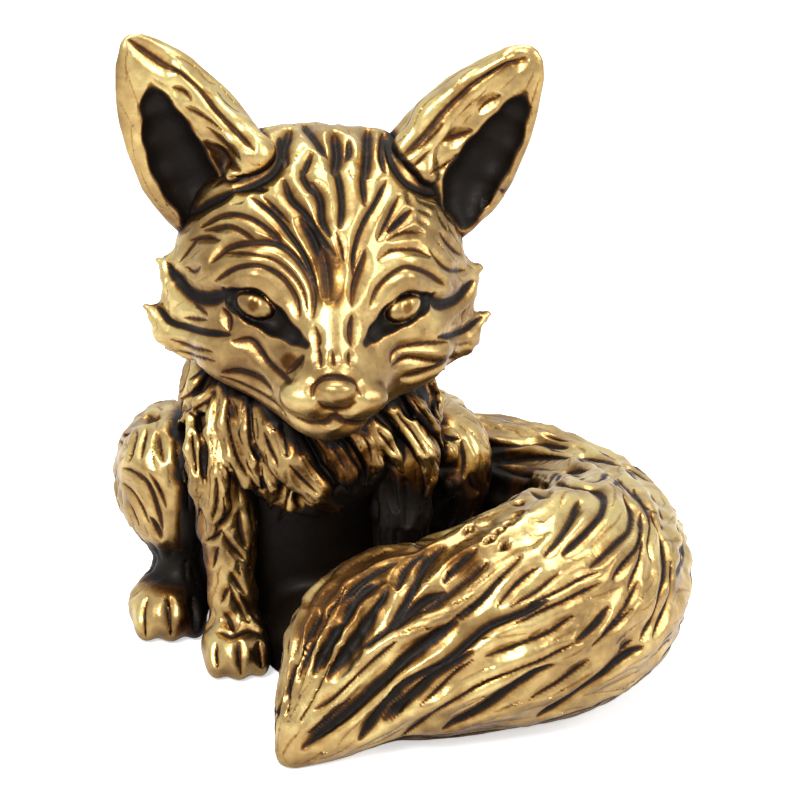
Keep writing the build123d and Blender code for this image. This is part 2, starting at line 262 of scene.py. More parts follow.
def tube(line, locks):
    """A round form along a line of (x, y, z, radius, swell, turn) rows, with locks winding along it."""
    middles, radii = line[:, :3], line[:, 3]
    ways, growth = np.diff(middles, axis=0), np.diff(line[:, 3:], axis=0)
    spans = np.linalg.norm(ways, axis=1)
    steep = np.clip(growth[:, 0] / spans, -MOST_STEEP, MOST_STEEP)
    lag = steep / np.sqrt(1 - steep**2)
    level = unit(np.cross(np.gradient(middles, axis=0), (0, 0, 1.0)))

    def field(p):
        gaps = (p**2).sum(1)[:, None] - 2 * p @ middles.T + (middles**2).sum(1)
        nearest = np.argmin(np.sqrt(np.maximum(gaps, 0)) - radii, axis=1)
        out = None
        for i in (np.maximum(nearest - 1, 0), np.minimum(nearest, len(spans) - 1)):
            q = p - middles[i]
            along = (q * ways[i]).sum(1) / spans[i]
            away = np.sqrt(np.maximum((q**2).sum(1) - along**2, 0))
            t = np.clip((along + lag[i] * away) / spans[i], 0, 1)[:, None]
            q = q - t * ways[i]
            radius, swell, turn = (line[i, 3:] + t * growth[i]).T
            d = np.linalg.norm(q, axis=1) - radius
            values = np.column_stack([q, level[i] * (1 - t) + level[i + 1] * t, swell, turn])
            if out is None:
                out, held = d, values
                continue
            held = np.where((d < out)[:, None], values, held)
            out = soft_min(out, d, TUBE_BLEND)
        side, across, high, wound = held[:, :3], held[:, 3:6], held[:, 6], held[:, 7]
        angle = np.arctan2(-side[:, 2], (side * across).sum(1))
        return out - high * np.clip(1 - np.sin(angle), 0, 1) * np.cos(locks * (angle - np.radians(wound)))

    return field


def grid_points(lines):
    """All points of a grid, from its places along x, y and z."""
    return np.stack(np.meshgrid(*lines, indexing="ij"), -1).reshape(-1, 3)


def in_chunks(field, p):
    """A field's values at many points, a share at a time."""
    return np.concatenate([field(p[i : i + CHUNK]) for i in range(0, len(p), CHUNK)])


def sampled(field, low, high, step):
    """A field read once on a grid, then looked up between the grid's points."""
    low = np.array(low, float)
    counts = np.ceil((np.array(high, float) - low) / step).astype(int) + 1
    lines = [low[i] + step * np.arange(counts[i]) for i in range(3)]
    values = in_chunks(field, grid_points(lines)).reshape(counts)

    def look(p):
        place = np.clip((p - low) / step, 0, counts - LAST_CELL)
        i = place.astype(int)
        u = place - i
        out = 0
        for corner in np.ndindex(2, 2, 2):
            weight = np.prod(np.where(corner, u, 1 - u), axis=1)
            out = out + weight * values[tuple((i + corner).T)]
        return out

    return look


def slopes(field, p):
    """Outward unit directions of a field."""
    steps = [(field(p + d) - field(p - d)) / (2 * SLOPE_STEP) for d in np.eye(3) * SLOPE_STEP]
    return unit(np.stack(steps, 1))


# From pixels of the photograph to places on a form
def sight_lines(pixels):
    """The directions from the camera through pixels."""
    pixels = np.array(pixels, float).reshape(-1, 2)
    across = (pixels[:, :1] - PHOTO_MIDDLE) * RIGHT
    return unit(-BACK * FOCAL_PIXELS + across + (PHOTO_MIDDLE - pixels[:, 1:]) * UP)


def landed(field, pixels):
    """Where the sight lines through pixels meet a form, or pass nearest to it."""
    rays = sight_lines(pixels)
    reach = np.full(len(rays), SIGHT_START)
    best, best_gap = reach.copy(), np.full(len(rays), np.inf)
    for _ in range(SIGHT_STEPS):
        gap = field(EYE + rays * reach[:, None])
        nearer = gap < best_gap - TINY
        best, best_gap = np.where(nearer, reach, best), np.where(nearer, gap, best_gap)
        reach = reach + np.clip(SIGHT_PACE * gap, SIGHT_BACK, SIGHT_AHEAD)
    points = EYE + rays * best[:, None]
    return points - slopes(field, points) * field(points)[:, None]


def spot(field, pixel, lift=0.0):
    """The place on a form that shows at a pixel, lifted off it by a distance."""
    point = landed(field, [pixel])
    return (point + lift * slopes(field, point))[0]


def row(field, pixels, lift):
    """A chain of (x, y, z, radius) over a form, from (pixel x, pixel y, radius in millimetres)."""
    pixels = np.array(pixels, float)
    points = landed(field, pixels[:, :2])
    points = points + lift * slopes(field, points)
    return np.column_stack([points, pixels[:, 2]])


# Meshing
def meshed(field, low, high, voxel):
    """The surface of a field inside a box, as points and quads."""
    step = BLOCK * voxel
    low = np.array(low, float) - step
    counts = np.ceil((np.array(high, float) + step - low) / step).astype(int)
    middles = grid_points([low[i] + step * (np.arange(counts[i]) + 0.5) for i in range(3)])
    rough = in_chunks(field, middles)
    near = np.abs(rough) < NEAR_BLOCKS * step
    offsets = grid_points([(np.arange(BLOCK) + 0.5) * voxel - step / 2] * 3)
    blocks = np.where(rough < 0, -step, step)[:, None] * np.ones(BLOCK**3)
    fine = in_chunks(field, (middles[near][:, None] + offsets).reshape(-1, 3))
    blocks[near] = np.clip(fine.reshape(-1, BLOCK**3), -step, step)
    cells = blocks.reshape(*counts, BLOCK, BLOCK, BLOCK).transpose(0, 3, 1, 4, 2, 5)
    grid = openvdb.FloatGrid(step)
    grid.copyFromArray(np.ascontiguousarray(cells.reshape(counts * BLOCK), np.float32))
    points, quads = grid.convertToQuads(isovalue=0.0)
    points = points * voxel + low + voxel / 2
    if (face_normals(points, quads) * points[quads].mean(1)).sum() < 0:
        quads = quads[:, ::-1]
    return points, quads


def face_normals(points, quads):
    """A vector square to each face of a mesh, as long as twice its area."""
    corners = points[quads]
    return np.cross(corners[:, 2] - corners[:, 0], corners[:, 3] - corners[:, 1])


def point_normals(points, quads):
    """The outward unit normal at each point of a mesh."""
    faces = face_normals(points, quads)
    out = np.zeros_like(points)
    for i in range(4):
        for axis in range(3):
            out[:, axis] += np.bincount(quads[:, i], faces[:, axis], len(points))
    return unit(out)


def in_one_piece(points, quads):
    """A mesh without its loose islands, by giving connected points the same label."""
    label = np.arange(len(points))
    while True:
        lower = label.copy()
        np.minimum.at(lower, quads.ravel(), np.repeat(label[quads].min(1), 4))
        lower = lower[lower]
        if (lower == label).all():
            break
        label = lower
    quads = quads[label[quads[:, 0]] == np.bincount(label).argmax()]
    used = np.unique(quads)
    return points[used], np.searchsorted(used, quads)


# Carving, in millimetres: a groove's least half width, its depth by half width, and how it tapers at its ends
LEAST_HALF = 0.085
DEPTH_BASE, DEPTH_SHARE, DEPTH_MOST = 0.12, 1.25, 0.5
TAPER_SHARE, TAPER_MOST = 0.35, 0.8
END_DEPTH, END_BLACK = 0.3, 0.45
# Its walls and the black in it, and how thin a groove in voxels draws the points near it into its bed
WALL_SHARE, WALL_EXTRA = 2.2, 0.26
WALL_POWER = 1.4
INK_REACH = 1.7
THIN_SHARE = 1.25
# Combing: how near a groove others may start and end, how it varies, and how it follows those around it
START_SHARE, STOP_SHARE = 0.55, 0.4
LENGTH_RANGE, BEND_RANGE, HALF_RANGE = (0.45, 1.2), (-0.25, 0.25), (0.7, 1.3)
HALF_STEPS = 6
LEAST_POINTS, THINNED_POINTS, COMB_STEPS = 5, 7, 3
FOLLOW_REACH = 1.6
SEED_TRIES = 6000
FAR_OFF = 1e3


class Groove:
    """A tapering cut along a line: its points, half width and depth in millimetres, and its black."""

    def __init__(self, line, half, depth, black):
        self.line, self.half, self.depth, self.black = np.array(line), half, depth, black


def groove_depth(half):
    """How deep a groove of a half width is cut."""
    return min(DEPTH_BASE + DEPTH_SHARE * half, DEPTH_MOST)


def smoothed(pixels):
    """The points of a photograph's line with more between them."""
    if len(pixels) > 2:
        return curve(pixels, LINE_STEPS)
    return np.linspace(*np.array(pixels, float), LINE_STEPS + 1)


def traced(field, lines, deep, black):
    """Grooves along lines of the photograph. A line is its width in pixels and then its points."""
    curves = [smoothed(pixels) for _, *pixels in lines]
    places = landed(field, np.vstack(curves))
    grooves, start = [], 0
    for (width, *_), line in zip(lines, curves):
        half = max(width / PIXELS_PER_MM / 2, LEAST_HALF)
        grooves.append(Groove(places[start : start + len(line)], half, deep * groove_depth(half), black))
        start += len(line)
    return grooves


def nearest_on(line, p):
    """How far points are from a line, how far along it their feet are, the feet, and the line's length."""
    spans = np.linalg.norm(np.diff(line, axis=0), axis=1)
    ends = np.concatenate([[0], np.cumsum(spans)])
    nearest, at, foot = np.full(len(p), np.inf), np.zeros(len(p)), p.copy()
    for a, b, start, span in zip(line[:-1], line[1:], ends[:-1], spans):
        way = b - a
        t = np.clip((p - a) @ way / max(way @ way, TINY), 0, 1)
        feet = a + t[:, None] * way
        d = np.linalg.norm(p - feet, axis=1)
        closer = d < nearest
        nearest = np.where(closer, d, nearest)
        at = np.where(closer, start + t * span, at)
        foot = np.where(closer[:, None], feet, foot)
    return nearest, at, foot, max(ends[-1], TINY)


def carved(points, grooves, voxel):
    """How deep grooves cut at each point, how black they leave it, and the points drawn into their beds."""
    depth, black, least = np.zeros(len(points)), np.zeros(len(points)), np.full(len(points), np.inf)
    drawn = points.copy()
    for groove in grooves:
        line, half = groove.line, groove.half
        wide = WALL_SHARE * half + WALL_EXTRA
        index = np.flatnonzero(((points > line.min(0) - wide) & (points < line.max(0) + wide)).all(1))
        if len(index) == 0:
            continue
        p = points[index]
        nearest, at, foot, length = nearest_on(line, p)
        lead = np.clip(np.minimum(at, length - at) / min(TAPER_SHARE * length, TAPER_MOST), 0, 1)
        taper = END_DEPTH + (1 - END_DEPTH) * np.sqrt(lead)
        wall = np.clip(1 - nearest / (wide * taper), 0, 1)
        depth[index] = np.maximum(depth[index], groove.depth * taper * wall**WALL_POWER)
        ink = np.clip(INK_REACH - nearest / (half * taper), 0, 1)
        black[index] = np.maximum(black[index], groove.black * ink * (END_BLACK + (1 - END_BLACK) * taper))
        if half > THIN_SHARE * voxel:
            continue
        pull = np.clip(2 - 2 * nearest / voxel, 0, 1) * (nearest < least[index]) * (lead > 0)
        near = pull > 0
        drawn[index[near]] = (p + (foot - p) * pull[:, None])[near]
        least[index] = np.minimum(least[index], nearest)
    return depth, black, drawn


def finder(points):
    """A search tree over points."""
    tree = KDTree(len(points))
    for i, point in enumerate(points):
        tree.insert(point, i)
    tree.balance()
    return tree


def combed(points, normals, chosen, flow, around, spacing, length, half, deep, black, seed):
    """Fine grooves that fill chosen points of a mesh, along the grooves around them or else along a flow."""
    chance = np.random.default_rng(seed)
    pool = np.flatnonzero(chosen)
    if len(pool) == 0:
        return []
    surface = finder(points[pool])
    around = around or [Groove([(FAR_OFF,) * 3] * 2, 0.0, 0.0, 0.0)]
    guide = finder(np.vstack([groove.line for groove in around]))
    widths = np.concatenate([np.full(len(groove.line), groove.half) for groove in around])
    ways = unit(np.vstack([np.gradient(groove.line, axis=0) for groove in around]))

    def followed(q, sign, bend, reach):
        """One half of a groove, from its middle until it meets another or leaves the chosen points."""
        line = []
        for _ in range(HALF_STEPS):
            place, nearest, gap = surface.find(q)
            if gap > spacing:
                break
            q, n = np.array(place), normals[pool[nearest]]
            line.append(q)
            _, other, away = guide.find(q)
            if away < spacing * STOP_SHARE + widths[other]:
                break
            way = unit(flow(q))
            if away < FOLLOW_REACH:
                beside = ways[other] * np.sign(ways[other] @ way or 1)
                way = way * away / FOLLOW_REACH + beside * (1 - away / FOLLOW_REACH)
            way = way + bend * np.cross(n, way)
            q = q + sign * unit(way - n * (way @ n)) * reach / (2 * HALF_STEPS)
        return line

    own, grooves = np.zeros((0, 3)), []
    for start in chance.permutation(pool)[:SEED_TRIES]:
        p = points[start]
        _, other, away = guide.find(p)
        crowded = len(own) and np.abs(own - p).sum(1).min() < spacing
        if crowded or away < spacing * START_SHARE + widths[other]:
            continue
        reach, bend = length * chance.uniform(*LENGTH_RANGE), chance.uniform(*BEND_RANGE)
        line = followed(p, -1, bend, reach)[::-1] + followed(p, 1, bend, reach)[1:]
        if len(line) < LEAST_POINTS:
            continue
        thick = half * chance.uniform(*HALF_RANGE)
        smooth = curve(line[::2] if len(line) >= THINNED_POINTS else line, COMB_STEPS)
        grooves.append(Groove(smooth, thick, deep * groove_depth(thick), black))
        own = np.vstack([own, line])
    return grooves


# Lines of the photograph: the width of a groove and then its points, all in pixels
TAIL_LINES = [
    (6, (466, 447), (500, 444), (536, 442), (568, 447)),
    (3, (544, 433), (557, 437), (571, 440)),
    (6, (476, 462), (535, 456), (575, 455), (612, 460)),
    (7, (484, 461), (500, 466), (530, 477)),
    (7, (560, 472), (574, 469), (590, 469)),
    (3, (598, 466), (610, 473), (618, 478)),
    (7, (556, 482), (585, 486), (602, 493), (603, 508), (590, 529), (563, 555)),
    (6, (580, 500), (575, 509), (563, 529), (545, 556)),
    (6, (532, 490), (540, 494), (548, 497)),
    (5, (512, 504), (518, 502), (524, 501)),
    (5, (624, 494), (633, 513), (627, 532), (608, 549), (590, 567)),
    (5, (641, 512), (641, 540), (628, 560), (613, 580)),
    (3, (634, 488), (651, 518), (650, 548), (652, 562)),
    (5, (652, 510), (664, 545), (666, 575), (657, 613), (641, 640)),
    (3, (618, 477), (638, 497), (658, 513)),
    (4, (598, 458), (628, 466), (652, 482)),
    (4, (520, 555), (498, 579), (479, 601), (447, 626)),
    (4, (540, 567), (525, 577), (505, 597), (497, 607)),
    (3, (465, 580), (480, 567), (487, 562)),
    (4, (600, 583), (580, 594), (552, 607), (515, 625)),
    (9, (548, 600), (518, 613), (488, 625), (468, 642), (448, 660), (406, 687), (385, 709), (360, 741)),
    (7, (609, 607), (596, 624), (576, 643)),
    (4, (575, 643), (545, 660), (515, 672), (480, 686), (441, 711), (402, 737)),
    (8, (554, 666), (533, 677), (506, 694), (480, 712), (443, 731)),
    (8, (644, 647), (625, 657), (602, 678), (565, 703), (538, 718)),
    (3, (633, 640), (627, 645), (620, 652)),
    (3, (592, 648), (605, 637), (620, 622), (633, 608)),
    (3, (532, 638), (515, 647), (485, 658)),
    (3, (672, 560), (673, 585), (668, 605), (653, 638)),
    (3, (600, 571), (585, 575), (555, 591), (525, 604)),
    (10, (458, 623), (421, 648), (397, 667), (368, 695), (341, 720), (302, 749)),
    (4, (397, 642), (376, 660), (347, 685), (315, 710)),
    (9, (474, 652), (440, 676), (408, 700), (384, 722)),
    (8, (382, 580), (359, 594), (341, 622), (322, 655), (313, 675)),
    (10, (387, 586), (374, 612), (353, 644), (327, 680)),
    (6, (420, 575), (411, 597), (388, 626), (360, 648)),
    (7, (447, 592), (426, 600), (404, 617), (384, 633)),
    (4, (486, 563), (461, 583), (441, 600), (418, 613)),
    (3, (286, 716), (290, 680), (304, 646), (324, 606)),
    (3, (345, 585), (325, 619), (309, 650), (299, 680)),
    (6, (476, 548), (460, 562), (445, 582)),
    (7, (443, 546), (427, 561), (414, 584), (404, 604)),
    (6, (398, 560), (375, 572), (352, 590), (338, 606)),
    (6, (425, 552), (412, 562), (402, 574), (396, 590)),
    (3, (505, 575), (485, 600), (460, 622)),
    (3, (560, 572), (535, 590), (510, 606)),
    (3, (575, 615), (550, 632), (520, 646)),
    (3, (440, 668), (418, 690), (392, 722)),
    (3, (475, 660), (450, 680), (420, 706)),
    (3, (590, 660), (560, 682), (530, 700)),
    (3, (628, 590), (640, 565), (645, 540)),
    (3, (600, 640), (622, 612), (640, 580)),
    (3, (430, 640), (405, 655), (385, 670)),
    (3, (350, 700), (330, 718), (308, 735)),
    (3, (330, 660), (315, 690), (300, 722)),
]
TAIL_PITS = [
    (6, (466, 528), (470, 530)), (6, (515, 513), (519, 515)), (7, (508, 520), (512, 523)),
    (6, (497, 528), (501, 531)), (6, (489, 537), (493, 540)), (6, (503, 544), (507, 547)),
    (6, (456, 562), (460, 565)), (5, (448, 571), (452, 574)), (5, (540, 486), (544, 489)),
]
BAND_LINES = [
    (12, (228, 294), (205, 299), (185, 292), (168, 268)),
    (9, (427, 297), (443, 305), (460, 299), (475, 281)),
    (6, (156, 305), (170, 323), (200, 331), (230, 335)),
    (5, (482, 317), (463, 333), (439, 337)),
    (8, (176, 284), (170, 274), (166, 262)),
    (10, (234, 190), (212, 199), (190, 212)),
    (10, (436, 198), (456, 208), (472, 226)),
    (9, (280, 134), (281, 154), (273, 171), (254, 183), (230, 190)),
    (9, (387, 136), (393, 159), (405, 178), (421, 188), (440, 193)),
]
FACE_LINES = [
    # Forehead, brows and lids
    (14, (316, 236), (325, 266), (329, 300)),
    (5, (200, 226), (222, 214), (246, 216), (268, 230), (286, 250)),
    (4, (188, 240), (206, 236), (220, 240)),
    (5, (215, 281), (236, 267), (260, 265), (281, 276), (294, 296), (299, 317)),
    (6, (210, 262), (228, 246), (256, 241), (280, 245), (300, 264), (312, 290), (312, 318)),
    (3, (222, 252), (255, 253), (280, 262), (299, 284), (307, 312)),
    (5, (204, 230), (230, 226), (258, 242)),
    (3, (178, 262), (192, 243), (200, 237)),
    (3, (185, 266), (192, 272), (200, 266)),
    (5, (371, 305), (382, 284), (403, 267), (424, 270), (445, 285)),
    (4, (430, 249), (449, 269), (466, 270)),
    (7, (353, 305), (357, 282), (364, 262), (366, 250)),
    (6, (352, 345), (352, 330), (353, 315)),
    (4, (378, 260), (392, 250), (415, 248), (432, 256)),
    (3, (388, 240), (404, 232), (424, 232)),
    (4, (440, 232), (452, 246), (462, 255)),
    # Muzzle, cheeks and lower tufts
    (4, (315, 326), (318, 340), (317, 350)),
    (5, (229, 332), (228, 318), (222, 308)),
    (3, (183, 318), (195, 319), (207, 320)),
    (3, (188, 301), (197, 308), (207, 315)),
    (6, (233, 341), (251, 341), (267, 363), (290, 382)),
    (6, (222, 374), (240, 373), (258, 380), (272, 392)),
    (3, (222, 378), (245, 388), (270, 402), (285, 415)),
    (6, (303, 355), (293, 365), (284, 374)),
    (3, (466, 310), (464, 318), (462, 322)),
    (4, (391, 362), (397, 350), (420, 344), (449, 342)),
    (3, (392, 366), (409, 358), (439, 363), (457, 359)),
    (5, (402, 378), (420, 375), (440, 367), (456, 357)),
    (6, (312, 397), (313, 385), (322, 377), (344, 376), (357, 381), (361, 395)),
    (4, (318, 402), (325, 409), (336, 411), (348, 409), (356, 403)),
    (3, (336, 411), (336, 415), (335, 418)),
    (3, (318, 346), (320, 367)),
    (3, (333, 351), (334, 367)),
    (3, (350, 351), (351, 365)),
    (6, (297, 419), (310, 425), (325, 424), (335, 418), (346, 424), (362, 425), (378, 418)),
    (4, (170, 340), (190, 348), (212, 352)),
    (3, (176, 352), (196, 358), (215, 362)),
]
IRIS_LINES = [
    (12, (248, 304), (252, 306), (257, 308)),
    (12, (404, 310), (408, 309), (413, 307)),
]
CROWN_LINES = [
    (5, (250, 196), (271, 212), (287, 231), (304, 258), (318, 295)),
    (4, (262, 195), (275, 208), (289, 222)),
    (7, (283, 178), (290, 197), (305, 213), (320, 236), (336, 258)),
    (8, (310, 180), (320, 197), (322, 218), (330, 236)),
    (7, (336, 163), (341, 185), (343, 208), (340, 228)),
    (6, (363, 166), (365, 188), (366, 205)),
    (5, (387, 180), (378, 200), (365, 222), (357, 247), (354, 275)),
    (4, (400, 195), (390, 218), (378, 240)),
    (3, (337, 232), (343, 248), (345, 262)),
    (6, (412, 210), (400, 222), (388, 232)),
    (10, (290, 128), (284, 145), (286, 165)),
    (11, (335, 131), (338, 150), (334, 174)),
    (10, (368, 128), (368, 150), (367, 178)),
    (7, (384, 132), (383, 152), (386, 172)),
    (7, (304, 123), (316, 138), (327, 156)),
    (6, (312, 150), (306, 164), (300, 178)),
    (6, (266, 190), (254, 186), (242, 190)),
    (12, (300, 215), (312, 236), (320, 262)),
    (6, (300, 168), (306, 182), (318, 196)),
    (6, (346, 160), (350, 150), (349, 138)),
]
RUFF_LINES = [
    (3, (189, 360), (184, 378), (179, 392)),
    (3, (213, 393), (203, 404), (192, 412)),
    (3, (191, 432), (193, 450), (196, 474)),
    (3, (204, 440), (203, 458), (205, 478)),
    (3, (216, 478), (217, 500), (212, 522)),
    (3, (231, 402), (229, 428), (238, 458), (248, 476)),
    (4, (263, 432), (268, 450), (277, 466)),
    (4, (283, 422), (287, 438), (288, 456)),
    (4, (290, 466), (304, 482), (318, 494)),
    (3, (330, 444), (340, 456), (346, 470)),
    (3, (362, 434), (370, 446), (372, 462)),
    (3, (378, 430), (388, 442), (396, 454)),
    (3, (398, 414), (414, 434), (426, 456)),
    (3, (410, 396), (422, 412), (434, 430)),
    (3, (436, 392), (440, 404), (443, 418)),
]
RIGHT_FORELEG_LINES = [
    (4, (222, 532), (230, 546), (245, 560)),
    (6, (240, 512), (242, 530), (247, 548)),
    (4, (206, 541), (214, 536), (222, 530)),
    (3, (218, 548), (214, 558), (212, 568)),
    (4, (231, 573), (238, 585), (246, 595)),
    (4, (220, 604), (226, 592), (231, 588)),
    (4, (229, 585), (236, 603), (250, 622)),
    (4, (240, 594), (250, 606), (258, 618)),
    (5, (224, 614), (230, 622), (234, 630)),
    (5, (218, 631), (232, 634), (250, 628), (268, 636)),
    (4, (216, 643), (215, 656), (218, 668)),
    (4, (239, 640), (240, 656), (241, 676)),
    (4, (260, 642), (262, 655), (262, 668)),
]
RIGHT_HIND_LINES = [
    (4, (122, 484), (134, 498), (148, 524)),
    (5, (137, 472), (150, 492), (162, 530)),
    (4, (148, 473), (158, 490), (166, 508)),
    (4, (128, 502), (132, 515), (138, 526)),
    (7, (150, 518), (155, 530), (160, 540)),
    (3, (122, 468), (134, 474), (146, 486)),
    (9, (147, 414), (152, 418), (158, 414)),
    (5, (128, 454), (133, 453)),
    (4, (118, 440), (122, 445)),
    (3, (136, 430), (132, 445), (128, 462)),
    (3, (146, 428), (142, 444), (140, 460)),
    (4, (158, 432), (160, 448), (164, 462)),
    (4, (147, 598), (143, 612), (145, 638)),
    (4, (170, 597), (169, 615), (171, 637)),
    (4, (193, 596), (194, 612), (196, 632)),
]
LEFT_SIDE_LINES = [
    (5, (436, 469), (446, 469), (458, 468)),
    (5, (440, 432), (448, 436), (459, 438)),
    (6, (470, 476), (474, 486), (480, 492)),
    (5, (462, 440), (466, 460), (464, 478)),
    (8, (452, 500), (446, 512), (440, 524)),
]
LEFT_FORELEG_LINES = [
    (7, (388, 470), (392, 490), (398, 512)),
    (7, (404, 480), (408, 505), (407, 528)),
    (6, (376, 500), (372, 520), (364, 540)),
]
RIGHT_EAR_LINES = [
    (7, (128, 39), (161, 62), (198, 83), (216, 109), (242, 137), (254, 150)),
    (3, (173, 88), (183, 93), (190, 100)),
    (4, (186, 108), (207, 122), (222, 131)),
    (4, (207, 128), (224, 146), (240, 160)),
    (8, (204, 143), (218, 152), (230, 166), (240, 172)),
    (3, (228, 178), (244, 180), (256, 176)),
]
LEFT_EAR_LINES = [
    (9, (526, 58), (484, 77), (454, 103), (428, 133), (402, 157)),
    (4, (501, 96), (487, 103), (478, 112)),
    (4, (446, 122), (438, 134), (420, 150)),
    (5, (472, 131), (457, 137), (443, 143)),
    (4, (459, 155), (446, 165), (431, 174)),
    (3, (412, 168), (422, 160), (432, 150)),
    (3, (484, 200), (490, 206)),
    (3, (500, 190), (508, 195)),
]
# Ears' hollows and folds, and eye sockets: pixels with a radius in millimetres
RIGHT_HOLLOW = [
    (151, 86, 0.15), (156, 106, 0.65), (167, 135, 1.05), (178, 161, 1.25), (191, 186, 1.25), (199, 204, 0.95),
    (193, 224, 0.5),
]
LEFT_HOLLOW = [
    (525, 94, 0.15), (516, 112, 0.6), (503, 136, 0.95), (487, 160, 1.15), (471, 186, 1.2), (466, 203, 0.95),
    (468, 221, 0.5),
]
RIGHT_FOLD = [(178, 72, 0.35), (206, 104, 0.60), (236, 136, 0.88), (254, 156, 0.95), (238, 172, 0.60)]
LEFT_FOLD = [(506, 62, 0.35), (470, 86, 0.60), (434, 118, 0.88), (412, 152, 0.88), (424, 172, 0.65)]
SOCKETS = [
    [
        (306, 345, 0.16), (293, 336, 0.34), (273, 321, 0.62),
        (252, 306, 0.76), (235, 300, 0.50), (224, 293, 0.2),
    ],
    [
        (366, 343, 0.16), (375, 333, 0.34), (391, 319, 0.58),
        (408, 308, 0.72), (423, 304, 0.48), (432, 298, 0.2),
    ],
]
# Eyes with their slant in radians, nose and whisker pads
EYES = [((252, 306), 0.35), ((408, 309), -0.3)]
NOSE = (336, 390)
WHISKER_PADS = [(300, 398), (370, 398)]

# Round joints between forms, in millimetres
GROUND_ROUND = 0.25
TUBE_BLEND = 0.3
SKULL_BLEND, FUR_BLEND, FACE_BLEND = 0.9, 0.3, 0.35
SOCKET_BLEND, SOCKET_RIM, LID_BLEND, EYE_BLEND = 0.2, 0.12, 0.1, 0.03
EAR_BLEND, EAR_RIM, FOLD_BLEND, HOLLOW_BLEND = 0.5, 0.2, 0.4, 0.3
CHEST_BLEND, COLLAR_BLEND, LOCK_BLEND, LOCK_JOINT, LOCK_ROOT = 0.8, 0.5, 0.2, 0.05, 0.12
LEG_BLEND, ANKLE_BLEND, HAUNCH_BLEND, TOE_BLEND = 0.5, 0.7, 1.0, 0.25
# How far forms stand out from those that they are landed on
NOSE_LIFT, PAD_LIFT, SOCKET_LIFT, EYE_LIFT = -0.15, -0.55, 0.12, -0.46
FOLD_LIFT, HOLLOW_LIFT, LOCK_LIFT, KNOB_LIFT = 0.1, 0.15, 0.12, -0.05

# The head: a frame that leans to the figure's left, and shares of its width, length and height
HEAD_ORIGIN = np.array([0.6, -1.0, 17.68])
HEAD_TILT = 4.0
HEAD_WIDTH, HEAD_LENGTH, HEAD_HEIGHT = 14.0, 14.6, 11.9
LEAN = radians(HEAD_TILT)
HEAD_ACROSS = np.array([cos(LEAN), 0.0, -sin(LEAN)])
HEAD_BACK = np.array([0.0, 1.0, 0.0])
HEAD_UP = np.array([sin(LEAN), 0.0, cos(LEAN)])
HEAD_AXES = np.array([HEAD_ACROSS, HEAD_BACK, HEAD_UP])
HEAD_SECTION_SHARES = [
    # way forward, top, then half width and height of brow, cheek and jaw, and bottom
    (-0.38, 0.16, 0.07, 0.13, 0.09, 0.04, 0.06, -0.02, -0.06),
    (-0.34, 0.28, 0.16, 0.21, 0.20, 0.03, 0.13, -0.12, -0.19),
    (-0.24, 0.44, 0.28, 0.30, 0.36, 0.03, 0.24, -0.24, -0.32),
    (-0.05, 0.53, 0.36, 0.35, 0.46, -0.05, 0.31, -0.33, -0.41),
    (0.12, 0.50, 0.35, 0.32, 0.49, -0.13, 0.30, -0.39, -0.45),
    (0.30, 0.36, 0.27, 0.20, 0.37, -0.15, 0.23, -0.39, -0.46),
    (0.43, 0.10, 0.14, 0.01, 0.22, -0.20, 0.15, -0.40, -0.47),
    (0.53, -0.10, 0.09, -0.14, 0.15, -0.27, 0.11, -0.39, -0.445),
    (0.59, -0.15, 0.06, -0.18, 0.09, -0.25, 0.06, -0.33, -0.37),
]
# Fur and bone on one side of the head, mirrored for the other: chains with a radius, middles with radii
UPPER_TUFT = [(4.6, -1.4, -0.9, 1.5), (6.2, -1.0, -0.55, 0.9), (7.3, -0.7, 0.25, 0.18)]
LOWER_TUFT = [(4.6, -2.0, -2.9, 1.5), (6.5, -1.4, -2.8, 0.95), (7.8, -1.0, -1.9, 0.18)]
CHEEK = ((3.6, -3.9, -2.5), (2.2, 1.7, 1.6))
EAR_BASE = ((2.3, 0.5, 4.6), (1.6, 2.4, 1.5))
BROW = [(1.3, -5.2, 0.9, 0.55), (3.2, -4.7, 1.5, 0.8), (5.0, -3.0, 1.0, 0.6)]
# And those in the middle
BRAINCASE = ((0, 0.7, 0.9), (4.7, 4.6, 5.1))
MUZZLE = [(0, -4.4, 2.1, 1.5), (0, -7.6, -1.9, 0.95)]
NOSE_RADII, PAD_RADII, EYE_RADII = (0.90, 0.85, 0.70), (1.25, 1.0, 0.85), (0.95, 0.62, 0.64)
# Twice the width of the bright rim round an eyeball
EYE_RIM = 0.12


def on_head(x, y, z, *radius):
    """A point given in the head's frame, as a point of the whole figure."""
    return (*(HEAD_ORIGIN + x * HEAD_ACROSS + y * HEAD_BACK + z * HEAD_UP), *radius)


def head_limb(points, side=1):
    """A chain given in the head's frame, mirrored where side is -1."""
    return limb([on_head(side * x, *rest) for x, *rest in points], FUR_BLEND)


def head_ball(middle, radii, side=1):
    """An ellipsoid given in the head's frame, mirrored where side is -1."""
    x, y, z = middle
    return ball(on_head(side * x, y, z), radii, HEAD_AXES)


